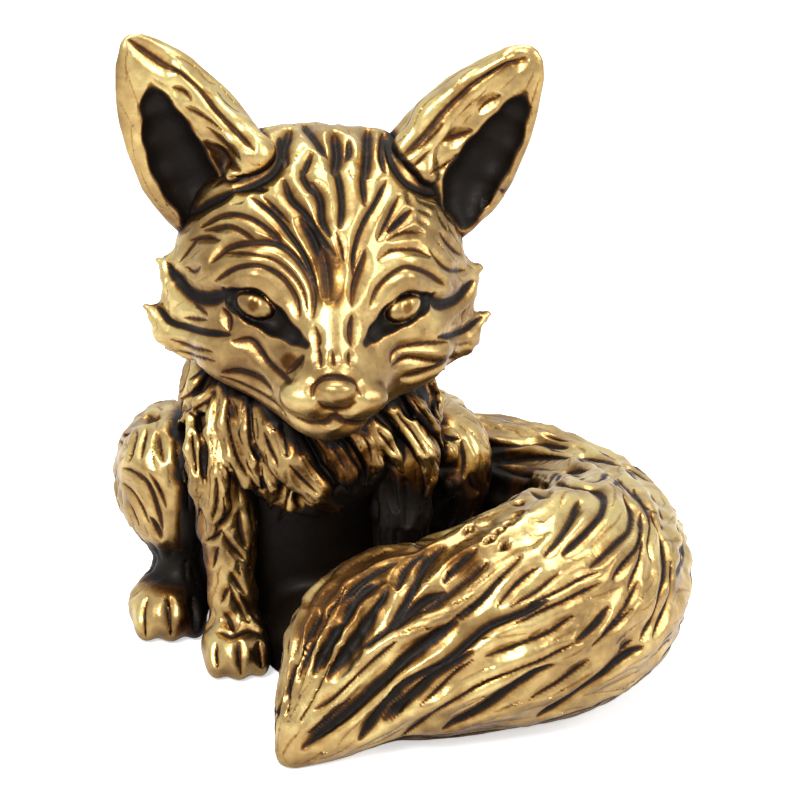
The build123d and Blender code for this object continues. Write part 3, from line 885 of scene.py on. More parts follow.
def head_mass():
    """Skull, cheeks, muzzle and the two tufts on each side, before the eyes are set in."""
    stations, outlines = [], []
    for ahead, *shares in HEAD_SECTION_SHARES:
        top, brow_x, brow_z, cheek_x, cheek_z, jaw_x, jaw_z, bottom = shares
        half = [(brow_x, brow_z), (cheek_x, cheek_z), (jaw_x, jaw_z)]
        loop = [(0, top), *half, (0, bottom), *[(-x, z) for x, z in reversed(half)]]
        stations.append(ahead * HEAD_LENGTH)
        outlines.append([(x * HEAD_WIDTH, z * HEAD_HEIGHT) for x, z in loop])
    skull = placed(loft(stations, outlines), HEAD_ORIGIN, np.array([HEAD_ACROSS, HEAD_UP, -HEAD_BACK]))
    parts = [head_ball(*BRAINCASE)]
    for side in (-1, 1):
        parts += [head_limb(UPPER_TUFT, side), head_limb(LOWER_TUFT, side), head_ball(*CHEEK, side)]
        parts += [head_ball(*EAR_BASE, side), head_limb(BROW, side)]
    return join(SKULL_BLEND, skull, *parts, head_limb(MUZZLE))


def eye_turn(place, slant):
    """The axes of an eyeball: along the lids, out of the head, and across the lids."""
    out = slopes(HEAD_MASS, np.array([place]))[0]
    along = RIGHT * cos(slant) - UP * sin(slant)
    along = unit(along - out * (along @ out))
    return np.array([along, out, np.cross(along, out)])


HEAD_MASS = head_mass()


def head_form():
    """The whole head with eyes, nose and whisker pads; and where it is dark."""
    features = [ball(spot(HEAD_MASS, NOSE, NOSE_LIFT), NOSE_RADII, HEAD_AXES)]
    features += [ball(spot(HEAD_MASS, pixel, PAD_LIFT), PAD_RADII, HEAD_AXES) for pixel in WHISKER_PADS]
    sockets = [limb(row(HEAD_MASS, pixels, SOCKET_LIFT), SOCKET_BLEND) for pixels in SOCKETS]
    eyes = []
    for pixel, slant in EYES:
        place = spot(HEAD_MASS, pixel, EYE_LIFT)
        eyes.append(ball(place, EYE_RADII, eye_turn(place, slant)))
    face = cut(SOCKET_RIM, join(FACE_BLEND, HEAD_MASS, *features), *sockets)
    lids, balls = join(LID_BLEND, *sockets), join(0, *eyes)
    return join(EYE_BLEND, face, *eyes), lambda p: np.maximum(lids(p), EYE_RIM - 2 * balls(p))


# Ears
EAR_HEIGHT, EAR_WIDTH, EAR_THICKNESS = 9.4, 5.9, 2.8
EAR_SPLAY = 32.0
EAR_TURN_SHARE = 0.25
EAR_SPOT = (4.2, 0.3, 2.6)
EAR_SECTION_SHARES = [
    # way up, way back, half width, half thickness
    (-0.10, 0.00, 0.36, 0.45),
    (0.00, 0.00, 0.42, 0.50),
    (0.22, 0.04, 0.50, 0.46),
    (0.45, 0.05, 0.47, 0.38),
    (0.68, 0.00, 0.37, 0.30),
    (0.88, -0.08, 0.22, 0.20),
    (0.97, -0.11, 0.11, 0.12),
    (1.00, -0.12, 0.03, 0.04),
]


def ear_form(side, hollow, fold):
    """One ear, a leaf with a thick inner fold and a hollow scooped out of its front; and where it is dark."""
    x, y, z = EAR_SPOT
    origin = np.array(on_head(side * x, y, z))
    splay = radians(EAR_SPLAY)
    along = side * sin(splay) * HEAD_ACROSS + cos(splay) * HEAD_UP
    across = cos(splay) * HEAD_ACROSS - side * EAR_TURN_SHARE * HEAD_BACK - side * sin(splay) * HEAD_UP
    across = unit(across)
    axes = np.array([across, np.cross(along, across), along])
    sections = [
        (up * EAR_HEIGHT, 0.0, back * EAR_THICKNESS, wide * EAR_WIDTH, thick * EAR_THICKNESS)
        for up, back, wide, thick in EAR_SECTION_SHARES
    ]
    leaf = placed(stack(sections), origin, axes)
    roll = limb(row(join(EAR_BLEND, leaf, HEAD_MASS), fold, FOLD_LIFT), FOLD_BLEND)
    scoop = limb(row(leaf, hollow, HOLLOW_LIFT), HOLLOW_BLEND)
    return cut(EAR_RIM, join(EAR_BLEND, leaf, roll), scoop), scoop


# Torso and ruff
TORSO_SECTIONS = [
    # height, middle x, middle y, half width, half depth
    (-1.0, 0, 1.5, 4.7, 5.3),
    (0.0, 0, 1.61, 4.96, 5.58),
    (2.52, 0, 1.86, 5.9, 6.32),
    (5.6, 0, 1.24, 5.78, 6.2),
    (8.68, 0, 0.0, 5.43, 5.58),
    (11.48, 0, -0.74, 4.84, 4.71),
    (14.0, 0, -1.24, 3.9, 3.72),
    (15.5, 0, -1.3, 3.2, 3.0),
]
RUFF_SECTIONS = [
    (7.0, 0, -4.5, 0.6, 0.9),
    (7.76, 0, -3.66, 2.5, 2.8),
    (9.0, 0, -2.18, 4.6, 4.6),
    (10.56, 0, -1.03, 5.8, 5.6),
    (12.0, 0, -0.8, 5.8, 5.4),
    (13.47, 0, -0.68, 5.1, 4.5),
    (14.6, 0, -0.6, 4.4, 4.0),
]
BELLY_FILL = ((0, -4.59, 0), (2.6, 3.8, 3.2))
# The hanging locks of the ruff: pixels with a radius in millimetres, from root to tip
RUFF_LOCKS = [
    [(268, 410, 0.75), (277, 434, 1.05), (291, 462, 1.05), (316, 488, 0.70), (336, 508, 0.16)],
    [(246, 400, 0.40), (247, 430, 0.42), (255, 460, 0.40), (263, 488, 0.10)],
    [(228, 388, 0.45), (230, 424, 0.58), (236, 456, 0.60), (248, 480, 0.42), (258, 493, 0.10)],
    [(215, 398, 0.42), (214, 434, 0.46), (219, 472, 0.54), (217, 506, 0.68), (208, 540, 0.16)],
    [(195, 420, 0.45), (197, 450, 0.62), (201, 484, 0.54), (200, 514, 0.10)],
    [(180, 420, 0.22), (181, 446, 0.26), (187, 480, 0.10)],
    [(208, 372, 0.25), (198, 386, 0.42), (182, 398, 0.14)],
    [(220, 388, 0.35), (205, 404, 0.50), (184, 420, 0.18)],
    [(234, 386, 0.30), (240, 400, 0.32), (244, 412, 0.16)],
    [(266, 462, 0.28), (275, 484, 0.40), (271, 508, 0.12)],
    [(292, 490, 0.20), (292, 504, 0.26), (279, 520, 0.08)],
    [(316, 434, 0.40), (332, 452, 0.62), (346, 474, 0.55), (352, 494, 0.14)],
    [(350, 430, 0.45), (364, 442, 0.52), (372, 462, 0.48), (366, 484, 0.14)],
    [(366, 422, 0.45), (380, 438, 0.52), (396, 456, 0.42), (402, 470, 0.14)],
    [(386, 408, 0.45), (406, 428, 0.52), (424, 452, 0.55), (430, 478, 0.40), (424, 498, 0.12)],
    [(404, 392, 0.40), (416, 408, 0.46), (432, 428, 0.42), (440, 446, 0.12)],
    [(428, 382, 0.32), (436, 398, 0.40), (442, 416, 0.34), (446, 432, 0.10)],
    [(380, 500, 0.12), (376, 516, 0.22), (371, 534, 0.08)],
    [(398, 478, 0.12), (396, 492, 0.26), (390, 508, 0.10)],
]
# The place between the locks that is blackened as patina and painted shade: how far from them it begins, and
# how far back it goes
LOCK_GAP = 0.32
CHEST_BACK = -2.3


def torso_form():
    """Rump, belly and chest, with the low metal that fills the place between the forelegs."""
    return grounded(join(CHEST_BLEND, stack(TORSO_SECTIONS), ball(*BELLY_FILL)))


def ruff_form():
    """The collar of long fur, its front broken into pointed locks; and where it is blackened between them, as
    patina and painted shade.
    """
    collar = stack(RUFF_SECTIONS)
    body = join(COLLAR_BLEND, collar, stack(TORSO_SECTIONS), RIGHT_FORELEG, LEFT_FORELEG)
    locks = join(LOCK_JOINT, *[limb(row(body, pixels, LOCK_LIFT), LOCK_BLEND) for pixels in RUFF_LOCKS])
    return join(LOCK_ROOT, collar, locks), lambda p: np.maximum(LOCK_GAP - locks(p), p[:, 1] - CHEST_BACK)


# Legs: places on the figure's left, mirrored for its right; a foreleg counts from its own middle line
FORELEG_X = 3.78
FORELEG_CHAIN = [
    # outwards, y, z, radius
    (0.0, -4.71, 0.9, 1.15),
    (0.05, -4.81, 3.3, 1.1),
    (0.20, -4.71, 6.6, 1.35),
    (0.30, -4.10, 9.35, 1.65),
    (0.25, -3.20, 11.0, 1.4),
]
FOREPAW_Y, FOREPAW_Z, FOREPAW_RADII = -5.84, 0.95, (1.6, 2.0, 1.35)
# Toes: how far outwards of the paw's middle line and ahead of the outer toes each is
FORETOES = [(-0.95, 0.0), (0.0, 0.25), (0.95, 0.0)]
FORETOE_Y, FORETOE_Z, FORETOE_RADII = -6.75, 0.75, (0.55, 0.95, 0.9)
HIND_PARTS = [
    # middle and radii of thigh, knee, shank and paw
    ((6.02, 1.24, 6.35), (2.9, 4.2, 3.5)),
    ((6.3, -0.7, 8.0), (2.2, 2.2, 1.9)),
    ((5.87, 0.62, 2.24), (1.32, 2.5, 2.8)),
    ((6.61, -1.49, 1.05), (1.9, 2.3, 1.45)),
]
HINDTOES = [(-1.1, 0.0), (0.0, 0.2), (1.1, 0.0)]
HINDTOE_X, HINDTOE_Y, HINDTOE_Z, HINDTOE_RADII = 6.61, -2.75, 0.8, (0.6, 0.9, 0.9)
# The two knobs beside the left haunch
KNOBS = [(447, 453), (451, 484)]
KNOB_RADII = (0.55, 0.5, 0.62)


def foreleg_form(side):
    """A shoulder, a straight leg and a paw with round toes."""
    x = side * FORELEG_X
    leg = limb([(x + side * out, *rest) for out, *rest in FORELEG_CHAIN], LEG_BLEND)
    paw = ball((x, FOREPAW_Y, FOREPAW_Z), FOREPAW_RADII)
    toes = [ball((x + side * out, FORETOE_Y - ahead, FORETOE_Z), FORETOE_RADII) for out, ahead in FORETOES]
    return grounded(join(TOE_BLEND, join(ANKLE_BLEND, leg, paw), *toes))


def hind_form(side):
    """A folded haunch with its knee, the shank under it and a paw."""
    leg = join(HAUNCH_BLEND, *[ball((side * x, y, z), radii) for (x, y, z), radii in HIND_PARTS])
    toe_places = [(side * (HINDTOE_X + out), HINDTOE_Y - ahead, HINDTOE_Z) for out, ahead in HINDTOES]
    toes = [ball(place, HINDTOE_RADII) for place in toe_places]
    knobs = [ball(spot(leg, pixel, KNOB_LIFT), KNOB_RADII) for pixel in KNOBS] if side > 0 else []
    return grounded(join(TOE_BLEND, leg, *toes, *knobs))


# Tail
GROUND_FLAT = 0.2
TAIL_LOCKS = 14
TAIL_SWIRL = 0.25
TAIL_SPOTS = [
    # x, y and radius from the rump round to the tip, the swell of the locks, and their turn in degrees
    (1.42, 5.21, 1.90, 0.04, 0),
    (5.89, 5.93, 3.15, 0.08, -7),
    (9.92, 4.06, 3.55, 0.11, -14),
    (12.80, 0.00, 3.70, 0.13, -22),
    (12.80, -5.46, 4.30, 0.14, -36),
    (10.43, -10.61, 5.00, 0.14, -61),
    (5.18, -12.32, 4.35, 0.14, -86),
    (2.24, -12.48, 4.05, 0.13, -101),
    (-0.45, -14.35, 2.20, 0.07, -106),
    (-1.92, -15.37, 0.90, 0.00, -108),
]
TAIL_ROUTE = [(x, y, radius - GROUND_FLAT, radius, swell, turn) for x, y, radius, swell, turn in TAIL_SPOTS]
TAIL_LINE = curve(TAIL_ROUTE, TAIL_STEPS)

# Flows of fur, as directions at a point
CROWN = np.array(on_head(0.0, -2.0, 7.0))
CROWN_FALL = np.array([0.0, 0.2, -0.5])
EAR_OUTWARDS = 0.5
BODY_FALL, HAUNCH_FALL = 0.25, 0.55


def tail_flow(p):
    """Along the tail towards its tip, turning slowly round it."""
    middles = TAIL_LINE[:, :3]
    i = min(np.argmin(np.linalg.norm(middles - p, axis=1)), len(middles) - 2)
    way = unit(middles[i + 1] - middles[i])
    return way + TAIL_SWIRL * np.cross(way, unit(p - middles[i]))


def head_flow(p):
    """Away from the crown, down and a little back."""
    return unit(p - CROWN) + CROWN_FALL


def ear_flow(p):
    """Up and outwards along an ear."""
    return np.array([np.sign(p[0]) * EAR_OUTWARDS, 0.0, 1.0])


def falling(back):
    """Down, and backwards by a share of that."""
    return lambda p: np.array([0.0, back, -1.0])


body_flow, haunch_flow = falling(BODY_FALL), falling(HAUNCH_FALL)

# The castings' forms, and their dark fields
RIGHT_FORELEG, LEFT_FORELEG = foreleg_form(-1), foreleg_form(1)
HEAD, HEAD_DARK = head_form()
RUFF, RUFF_PATINA_AND_SHADE = ruff_form()
TORSO, TAIL = torso_form(), grounded(tube(TAIL_LINE, TAIL_LOCKS))
RIGHT_EAR, RIGHT_EAR_DARK = ear_form(-1, RIGHT_HOLLOW, RIGHT_FOLD)
LEFT_EAR, LEFT_EAR_DARK = ear_form(1, LEFT_HOLLOW, LEFT_FOLD)
# Traced lines with their depth and black
TAIL_SETS = [(TAIL_LINES, 1.0, 0.95), (TAIL_PITS, 1.3, 0.9)]
HEAD_SETS = [
    (IRIS_LINES, 0.25, 0.42), (BAND_LINES, 0.9, 1.0), (FACE_LINES, 0.85, 0.72), (CROWN_LINES, 1.1, 0.85),
]
# Coarse and fine locks that are combed: spacing, length and half width in millimetres
TAIL_FUR = ((0.75, 6.0, 0.13), (0.75, 4.5, 0.08))
HEAD_FUR = ((0.8, 3.4, 0.12), (0.7, 1.8, 0.05))
RUFF_FUR = ((0.8, 3.4, 0.12), (0.6, 2.6, 0.06))
EAR_FUR = ((0.8, 3.4, 0.09), (0.8, 3.0, 0.055))
TORSO_FUR = ((0.9, 4.0, 0.13), (0.7, 3.0, 0.07))
FORELEG_FUR = ((0.7, 2.4, 0.09), (0.6, 2.0, 0.05))
HAUNCH_FUR = ((0.8, 3.0, 0.11), (0.7, 2.4, 0.06))
CASTINGS = {
    # form, voxel, traced lines, flow of fur, and its coarse and fine locks
    "tail": (TAIL, 0.11, TAIL_SETS, tail_flow, TAIL_FUR),
    "head": (HEAD, 0.085, HEAD_SETS, head_flow, HEAD_FUR),
    "ruff": (RUFF, 0.085, [(RUFF_LINES, 1.1, 0.9)], body_flow, RUFF_FUR),
    "right_ear": (RIGHT_EAR, 0.08, [(RIGHT_EAR_LINES, 0.9, 0.7)], ear_flow, EAR_FUR),
    "left_ear": (LEFT_EAR, 0.08, [(LEFT_EAR_LINES, 0.9, 0.7)], ear_flow, EAR_FUR),
    "torso": (TORSO, 0.10, [], body_flow, TORSO_FUR),
    "right_foreleg": (RIGHT_FORELEG, 0.075, [(RIGHT_FORELEG_LINES, 1.0, 0.8)], body_flow, FORELEG_FUR),
    "left_foreleg": (LEFT_FORELEG, 0.075, [(LEFT_FORELEG_LINES, 1.0, 0.8)], body_flow, FORELEG_FUR),
    "right_hind_leg": (hind_form(-1), 0.085, [(RIGHT_HIND_LINES, 1.0, 0.75)], haunch_flow, HAUNCH_FUR),
    "left_hind_leg": (hind_form(1), 0.085, [(LEFT_SIDE_LINES, 1.0, 0.9)], haunch_flow, HAUNCH_FUR),
}
# Where a casting is blackened: fields that are below zero there. The head and ears get patina in their
# sockets and hollows; in the ruff and torso the black between the locks and over the belly is patina and
# painted shade.
DARKENED = {
    "head": HEAD_DARK,
    "right_ear": RIGHT_EAR_DARK,
    "left_ear": LEFT_EAR_DARK,
    "ruff": RUFF_PATINA_AND_SHADE,
    # the front of the torso, over the belly and the fill between the forelegs, blackened as patina and
    # painted shade
    "torso": lambda p: p[:, 1] - CHEST_BACK,
}
# How deep the fur is combed where that isn't the full depth
CALM = {"right_ear": 0.35, "left_ear": 0.35, "tail": 0.6}
# Smooth places without fine fur: middle and radii, in millimetres
SMOOTH = [
    (on_head(0, -6.5, -1.2), (6.8, 4.6, 4.2)),
    (on_head(-3.3, -5.1, -0.4), (1.7, 1.6, 1.1)),
    (on_head(3.3, -5.1, -0.4), (1.7, 1.6, 1.1)),
    ((-FORELEG_X, -6.6, 0.8), (1.9, 1.8, 1.5)),
    ((FORELEG_X, -6.6, 0.8), (1.9, 1.8, 1.5)),
    ((-6.6, -2.6, 0.8), (2.1, 1.9, 1.7)),
    ((6.6, -2.6, 0.8), (2.1, 1.9, 1.7)),
]
# Recesses between the legs, under the chest and over the belly, blackened as patina that no polishing wheel
# reaches together with painted shade: middle and radii, in millimetres
PATINA_AND_SHADE_ZONES = [
    ((1.3, -6.0, 9.0), (1.5, 1.6, 1.1)),
    ((0.3, -4.0, 4.5), (3.2, 3.2, 5.2)),
    ((-5.2, -3.0, 5.0), (0.9, 2.2, 6.0)),
    ((3.6, -4.3, 6.0), (3.0, 2.6, 3.8)),
    ((-6.0, -0.6, 2.9), (1.9, 2.2, 1.7)),
    ((-4.2, -3.2, 2.4), (0.9, 1.6, 2.8)),
    ((6.5, -3.6, 3.5), (2.0, 2.0, 4.5)),
]
# Painted shade, a dim brown where the figure lies in shade, as under the chin and on the tail's side towards
# the belly: pixels with a radius in millimetres
PAINTED_SHADE_SPOTS = {
    "tail": [
        (310, 620, 1.0), (324, 598, 1.2), (342, 578, 1.2), (366, 562, 1.2), (372, 584, 1.2), (408, 553, 1.3),
        (462, 560, 0.7), (520, 482, 1.2), (350, 610, 0.9),
    ],
    "ruff": [(326, 452, 1.1), (350, 474, 1.3), (338, 496, 1.1), (390, 492, 1.0)],
    "head": [(326, 262, 0.8), (330, 292, 0.7), (274, 238, 0.4), (288, 362, 0.4)],
    "left_hind_leg": [(470, 490, 1.0)],
}

# Room around a casting's box, around the whole figure, and around a box where its form still counts
MARGIN, WHOLE_MARGIN, BOX_REACH = 1.1, 2, 3
# The grid of the whole figure, and the distance that it gives where no form is near
WHOLE_STEP, OPEN_AIR = 0.35, 4.0
# How far outwards other metal shuts a point in, and how much each reach weighs
SHUT_REACHES = [(0.3, 0.25), (0.6, 0.30), (1.3, 0.35), (2.8, 0.30)]
# Where fur is combed: how high and open it is at least, and how smooth and dark at most
FUR_HEIGHT, FUR_OPEN, FUR_SMOOTH, FUR_DARK = 0.3, 0.08, 0.5, 0.1
# Coarse locks are combed only where a surface turns away from the photograph's camera, fine ones everywhere
HIDDEN_FACING = 0.15
FINE_BLACK, FINE_DEEP = 0.3, 0.45
# How far dark fields fade, how much the painted shade blackens, and the height that no cut goes below
CREVICE, PAINTED_SHADE_DEPTH = 0.12, 0.5
GROUND_KEPT = 0.05
# Where an ellipsoid's effect ends and over how much it fades, in shares of its radii
INSIDE_EDGE, INSIDE_FADE = 1.35, 0.6


def openness(points, normals, whole):
    """From 1 in the open to 0 in a crevice, by how soon other metal is met going outwards."""
    shut = np.zeros(len(points))
    for reach, weight in SHUT_REACHES:
        gap = in_chunks(whole, points + normals * reach)
        shut += weight * np.clip(1 - gap / reach, 0, 1)
    return 1 - np.clip(shut, 0, 1)


def all_forms(p):
    """The nearest of all the castings' forms, each only inside its own box."""
    out = np.full(len(p), OPEN_AIR)
    for name, (low, high) in BOXES.items():
        index = np.flatnonzero(((p > low - BOX_REACH) & (p < high + BOX_REACH)).all(1))
        if len(index):
            out[index] = np.minimum(out[index], CASTINGS[name][0](p[index]))
    return out


def inside(points, places):
    """From 1 inside any of the ellipsoids to 0 a little outside them all."""
    out = np.zeros(len(points))
    for middle, radii in places:
        k = np.linalg.norm((points - np.array(middle)) / np.array(radii), axis=1)
        out = np.maximum(out, np.clip((INSIDE_EDGE - k) / INSIDE_FADE, 0, 1))
    return out


def linked(name, data):
    """A new object of the scene."""
    obj = bpy.data.objects.new(name, data)
    bpy.context.scene.collection.objects.link(obj)
    return obj


def skin(name, points, quads, values):
    """A Blender piece from a mesh in millimetres, with values at its points."""
    mesh = bpy.data.meshes.new(name)
    mesh.vertices.add(len(points))
    mesh.vertices.foreach_set("co", (points * MM).astype(np.float32).ravel())
    mesh.loops.add(quads.size)
    mesh.loops.foreach_set("vertex_index", quads.astype(np.int32).ravel())
    mesh.polygons.add(len(quads))
    mesh.polygons.foreach_set("loop_start", np.arange(0, quads.size, 4, dtype=np.int32))
    mesh.polygons.foreach_set("use_smooth", np.ones(len(quads), bool))
    mesh.update()
    mesh.validate()
    for label, numbers in values.items():
        layer = mesh.attributes.new(label, "FLOAT", "POINT")
        layer.data.foreach_set("value", numbers.astype(np.float32))
    return linked(name, mesh)


def casting(name, whole):
    """The carved piece that stands for one casting."""
    form, voxel, line_sets, flow, (coarse, fine) = CASTINGS[name]
    low, high = BOXES[name]
    points, quads = in_one_piece(*meshed(form, low - MARGIN, high + MARGIN, voxel))
    normals = point_normals(points, quads)
    opened = openness(points, normals, whole)
    dark = np.zeros(len(points))
    if name in DARKENED:
        dark = np.clip(1 - in_chunks(DARKENED[name], points) / CREVICE, 0, 1)
    furred = (points[:, 2] > FUR_HEIGHT) & (opened > FUR_OPEN)
    furred &= (inside(points, SMOOTH) < FUR_SMOOTH) & (dark < FUR_DARK)
    hidden = furred & ((normals * unit(EYE - points)).sum(1) < HIDDEN_FACING)
    deep, seed = CALM.get(name, 1.0), sum(map(ord, name))
    grooves = [groove for line_set in line_sets for groove in traced(form, *line_set)]
    grooves += combed(points, normals, hidden, flow, grooves, *coarse, deep, 1.0, seed)
    grooves += combed(points, normals, furred, flow, grooves, *fine, deep * FINE_DEEP, FINE_BLACK, seed + 1)
    depth, black, points = carved(points, grooves, voxel)
    points = points - normals * np.clip(points[:, 2] - GROUND_KEPT, 0, depth)[:, None]
    points[:, 2] = np.maximum(points[:, 2], 0)
    # Painted shade: dim brown spots where the figure lies in shade
    painted_shade_places = [(spot(form, pixel), (radius,) * 3) for *pixel, radius in PAINTED_SHADE_SPOTS.get(name, [])]
    # The black also takes the recesses blackened as patina and painted shade
    black = np.maximum.reduce([black, dark, inside(points, PATINA_AND_SHADE_ZONES), PAINTED_SHADE_DEPTH * inside(points, painted_shade_places)])
    piece = skin(name + "_skin", points, quads, {"black": black, "open": opened, "cut": depth})
    piece.data.materials.append(BRASS)
    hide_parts(name)
    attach(piece, "root")


# Materials: scale and detail of noises, stops of ramps, and spreads from low and high to low and high
WHITE = (1.0, 1.0, 1.0, 1.0)
NOISE_ROUGHNESS = 0.55
BROAD, MOTTLE, FINE, TABLE_GRAIN = (230.0, 4.0), (1100.0, 4.0), (5200.0, 3.0), (40.0, 6.0)
METAL_STOPS = [
    (0.12, (0.165, 0.090, 0.036)),
    (0.34, (0.31, 0.198, 0.076)),
    (0.52, (0.44, 0.298, 0.118)),
    (0.74, (0.63, 0.495, 0.205)),
]
TARNISH_STOPS = [
    (0.10, (1.0, 1.0, 1.0)),
    (0.30, (0.62, 0.47, 0.33)),
    (0.56, (0.16, 0.090, 0.062)),
    (0.82, (0.012, 0.009, 0.008)),
]
TABLE_STOPS = [(0.35, (0.90, 0.90, 0.90)), (0.65, (0.93, 0.93, 0.93))]
TABLE_ROUGHNESS, TABLE_GLOW = 0.8, 0.55
# Painted light and shade by which way a face turns: lighter facing up, darker facing down
PAINTED_LIGHT_BY_FACING = (-0.6, 0.9, -0.16, 0.12)
# Patina in the hollows and painted shade in the broad recesses, by how open a point is
PATINA_AND_SHADE_BY_OPENNESS = (0.12, 0.72, 1.0, 0.0)
BLACK_BY_DEPTH = (0.02, 0.34, 0.0, 0.52)
METALLIC_BY_PATINA = (0.50, 0.85, 1.0, 0.3)
SPECULAR_BY_PATINA = (0.55, 0.9, 0.4, 0.18)
ROUGHNESS_BY_NOISE = (0.3, 0.7, 0.26, 0.38)
ROUGHER_BY_PATINA = (0.3, 0.8, 0.0, 0.2)
# How much noises vary the black, its fringe and the metal's tone, and what they add to tone and height
BLACK_VARIES, FRINGE_VARIES, TONE_VARIES = 0.5, 0.25, 1.5
TONE_MOTTLE, TONE_BASE = 0.7, 0.12
PITS_FINE, PITS_MOTTLE, PITS_STRENGTH, PITS_DEPTH = 0.3, 0.7, 0.3, 0.12 * MM


class Nodes:
    """The node tree of a material or a world, built by short calls."""

    def __init__(self, owner):
        owner.use_nodes = True
        self.tree = owner.node_tree

    def fill(self, node, links):
        """Sockets that are linked to a node's inputs, or values for them."""
        for key, value in links.items():
            if isinstance(value, bpy.types.NodeSocket):
                self.tree.links.new(value, node.inputs[key])
            else:
                node.inputs[key].default_value = value

    def add(self, kind, links=None, **settings):
        """A node with its settings, and values or sockets for its inputs."""
        node = self.tree.nodes.new(kind)
        for key, value in settings.items():
            setattr(node, key, value)
        self.fill(node, links or {})
        return node

    def attribute(self, name):
        """A value that a piece's points keep."""
        return self.add("ShaderNodeAttribute", attribute_name=name).outputs["Fac"]

    def noise(self, scale, detail):
        """Noise in the object's own space."""
        place = self.add("ShaderNodeTexCoord").outputs["Object"]
        links = {"Vector": place, "Scale": scale, "Detail": detail, "Roughness": NOISE_ROUGHNESS}
        return self.add("ShaderNodeTexNoise", links).outputs["Fac"]

    def maths(self, operation, *values):
        """The result of an operation on values or sockets."""
        return self.add("ShaderNodeMath", dict(enumerate(values)), operation=operation).outputs[0]

    def varied(self, value, noise, amount):
        """A value that a noise raises and lowers."""
        return self.maths("MULTIPLY_ADD", self.maths("SUBTRACT", noise, 0.5), amount, value)

    def ramp(self, value, stops):
        """A colour by a value, through (place, colour) stops."""
        node = self.add("ShaderNodeValToRGB", {"Fac": value})
        points = node.color_ramp.elements
        while len(points) < len(stops):
            points.new(0.5)
        for point, (place, colour) in zip(points, stops):
            point.position = place
            point.color = (*colour, 1.0)
        return node.outputs["Color"]

    def spread(self, value, low, high, to_low, to_high):
        """A value carried from one range to another."""
        links = {"Value": value, "From Min": low, "From Max": high, "To Min": to_low, "To Max": to_high}
        return self.add("ShaderNodeMapRange", links).outputs["Result"]


def brass_material():
    """Cast brass, blackened and polished back: black in the cuts, brown at their edges, bright ridges;
    painted light on faces turned up, painted shade on those turned down and in the broad recesses.
    """
    material = bpy.data.materials.new("antiqued_brass")
    n = Nodes(material)
    broad, mottle, fine = n.noise(*BROAD), n.noise(*MOTTLE), n.noise(*FINE)
    facing = n.add("ShaderNodeSeparateXYZ", {"Vector": n.add("ShaderNodeNewGeometry").outputs["Normal"]})
    # Painted light and shade: the metal is lighter where its faces turn up and darker where they turn down
    painted_light_and_shade = n.spread(facing.outputs["Z"], *PAINTED_LIGHT_BY_FACING)
    # Black where other metal closes a point in: patina in the hollows, and painted shade in the broad
    # recesses between parts
    shut = n.spread(n.attribute("open"), *PATINA_AND_SHADE_BY_OPENNESS)
    walls = n.spread(n.attribute("cut"), *BLACK_BY_DEPTH)
    ragged = n.varied(n.maths("MAXIMUM", n.attribute("black"), shut), mottle, BLACK_VARIES)
    patina = n.varied(n.maths("MAXIMUM", ragged, walls), fine, FRINGE_VARIES)
    toned = n.varied(n.maths("MULTIPLY_ADD", mottle, TONE_MOTTLE, TONE_BASE), broad, TONE_VARIES)
    metal = n.ramp(n.maths("ADD", toned, painted_light_and_shade), METAL_STOPS)
    parts = {0: 1.0, 6: metal, 7: n.ramp(patina, TARNISH_STOPS)}
    colour = n.add("ShaderNodeMix", parts, data_type="RGBA", blend_type="MULTIPLY")
    height = n.maths("MULTIPLY_ADD", fine, PITS_FINE, n.maths("MULTIPLY", mottle, PITS_MOTTLE))
    bump = n.add("ShaderNodeBump", {"Height": height, "Strength": PITS_STRENGTH, "Distance": PITS_DEPTH})
    rough = n.maths("ADD", n.spread(fine, *ROUGHNESS_BY_NOISE), n.spread(patina, *ROUGHER_BY_PATINA))
    n.fill(n.tree.nodes["Principled BSDF"], {
        "Base Color": colour.outputs[2],
        "Metallic": n.spread(patina, *METALLIC_BY_PATINA),
        "Specular IOR Level": n.spread(patina, *SPECULAR_BY_PATINA),
        "Roughness": rough,
        "Normal": bump.outputs["Normal"],
    })
    return material


def table_material():
    """A pale matt table that the camera sees glowing a little."""
    material = bpy.data.materials.new("pale_table")
    n = Nodes(material)
    seen = n.add("ShaderNodeLightPath").outputs["Is Camera Ray"]
    n.fill(n.tree.nodes["Principled BSDF"], {
        "Base Color": n.ramp(n.noise(*TABLE_GRAIN), TABLE_STOPS),
        "Roughness": TABLE_ROUGHNESS,
        "Emission Color": WHITE,
        "Emission Strength": n.maths("MULTIPLY", seen, TABLE_GLOW),
    })
    return material


# Camera, light and table: lamps are a name, a place and a width in millimetres, and watts
LAMPS = [
    ("key", (-90, -150, 190), 90, 0.55),
    ("fill", (170, -90, 120), 110, 0.25),
    ("top", (20, 60, 220), 120, 0.30),
]
AMBIENT = 0.55
TABLE_SIZE = 900.0
CLIP_START = 0.01


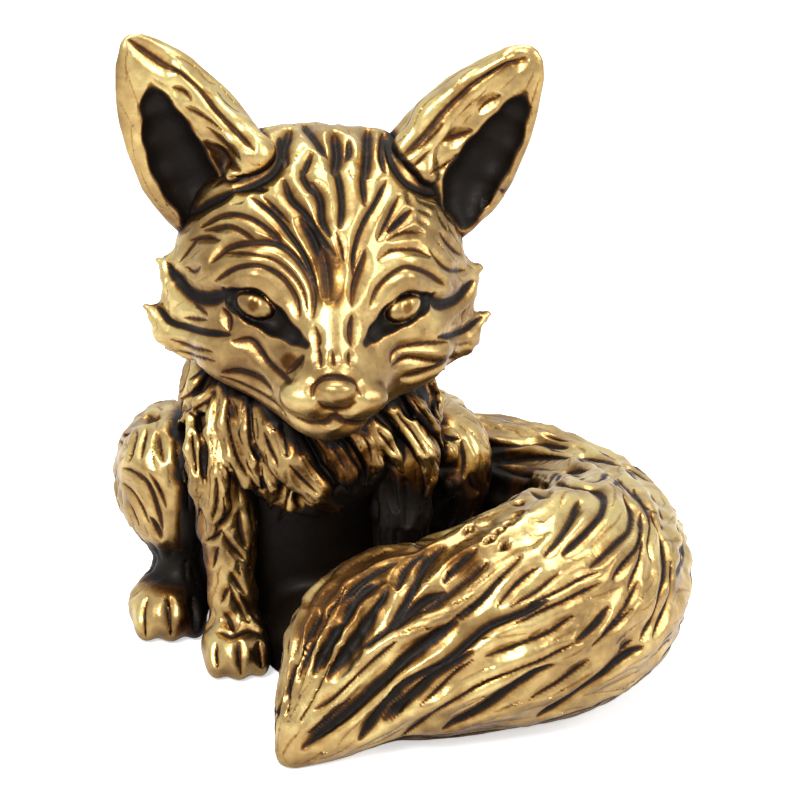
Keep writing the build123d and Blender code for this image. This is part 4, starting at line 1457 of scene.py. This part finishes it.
def camera():
    """The photograph's view."""
    data = bpy.data.cameras.new("camera")
    data.sensor_width = SENSOR_WIDTH
    data.lens = SENSOR_WIDTH * FOCAL_PIXELS / PHOTO_SIZE
    data.clip_start = CLIP_START
    view = linked("camera", data)
    view.matrix_world = Matrix.Translation(Vector(EYE) * MM) @ Matrix((RIGHT, UP, BACK)).transposed().to_4x4()
    bpy.context.scene.camera = view


def lamp(name, place, size, watts):
    """A square soft lamp that looks at the figure."""
    data = bpy.data.lights.new(name, "AREA")
    data.size = size * MM
    data.energy = watts
    back = Vector(place) - Vector(VIEW_TARGET)
    turn = back.to_track_quat("Z", "Y").to_matrix().to_4x4()
    linked(name, data).matrix_world = Matrix.Translation(Vector(place) * MM) @ turn


def studio():
    """A white surround for the camera, for metal and for glass, with a soft plain ambient light."""
    world = bpy.data.worlds.new("studio")
    bpy.context.scene.world = world
    n = Nodes(world)
    n.tree.nodes.clear()
    rays = n.add("ShaderNodeLightPath").outputs
    seen = n.maths("MAXIMUM", rays["Is Camera Ray"], rays["Is Glossy Ray"])
    seen = n.maths("MAXIMUM", seen, rays["Is Transmission Ray"])
    lights = {0: seen}
    for key, strength in ((1, AMBIENT), (2, 1.0)):
        lights[key] = n.add("ShaderNodeBackground", {"Color": WHITE, "Strength": strength}).outputs[0]
    n.add("ShaderNodeOutputWorld", {"Surface": n.add("ShaderNodeMixShader", lights).outputs[0]})


def table():
    """The table that the figure stands on."""
    half = TABLE_SIZE / 2 * MM
    mesh = bpy.data.meshes.new("table")
    corners = [(-half, -half, 0), (half, -half, 0), (half, half, 0), (-half, half, 0)]
    mesh.from_pydata(corners, [], [(0, 1, 2, 3)])
    mesh.materials.append(table_material())
    linked("table", mesh)


bpy.context.scene.view_settings.view_transform = "Standard"
camera()
studio()
table()
for settings in LAMPS:
    lamp(*settings)

BRASS = brass_material()
BOXES = {name: [np.array(corner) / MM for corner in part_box(name)] for name in CASTINGS}
room = Vector((WHOLE_MARGIN,) * 3)
whole = sampled(all_forms, cad_box[0] / MM - room, cad_box[1] / MM + room, WHOLE_STEP)
for name in CASTINGS:
    casting(name, whole)
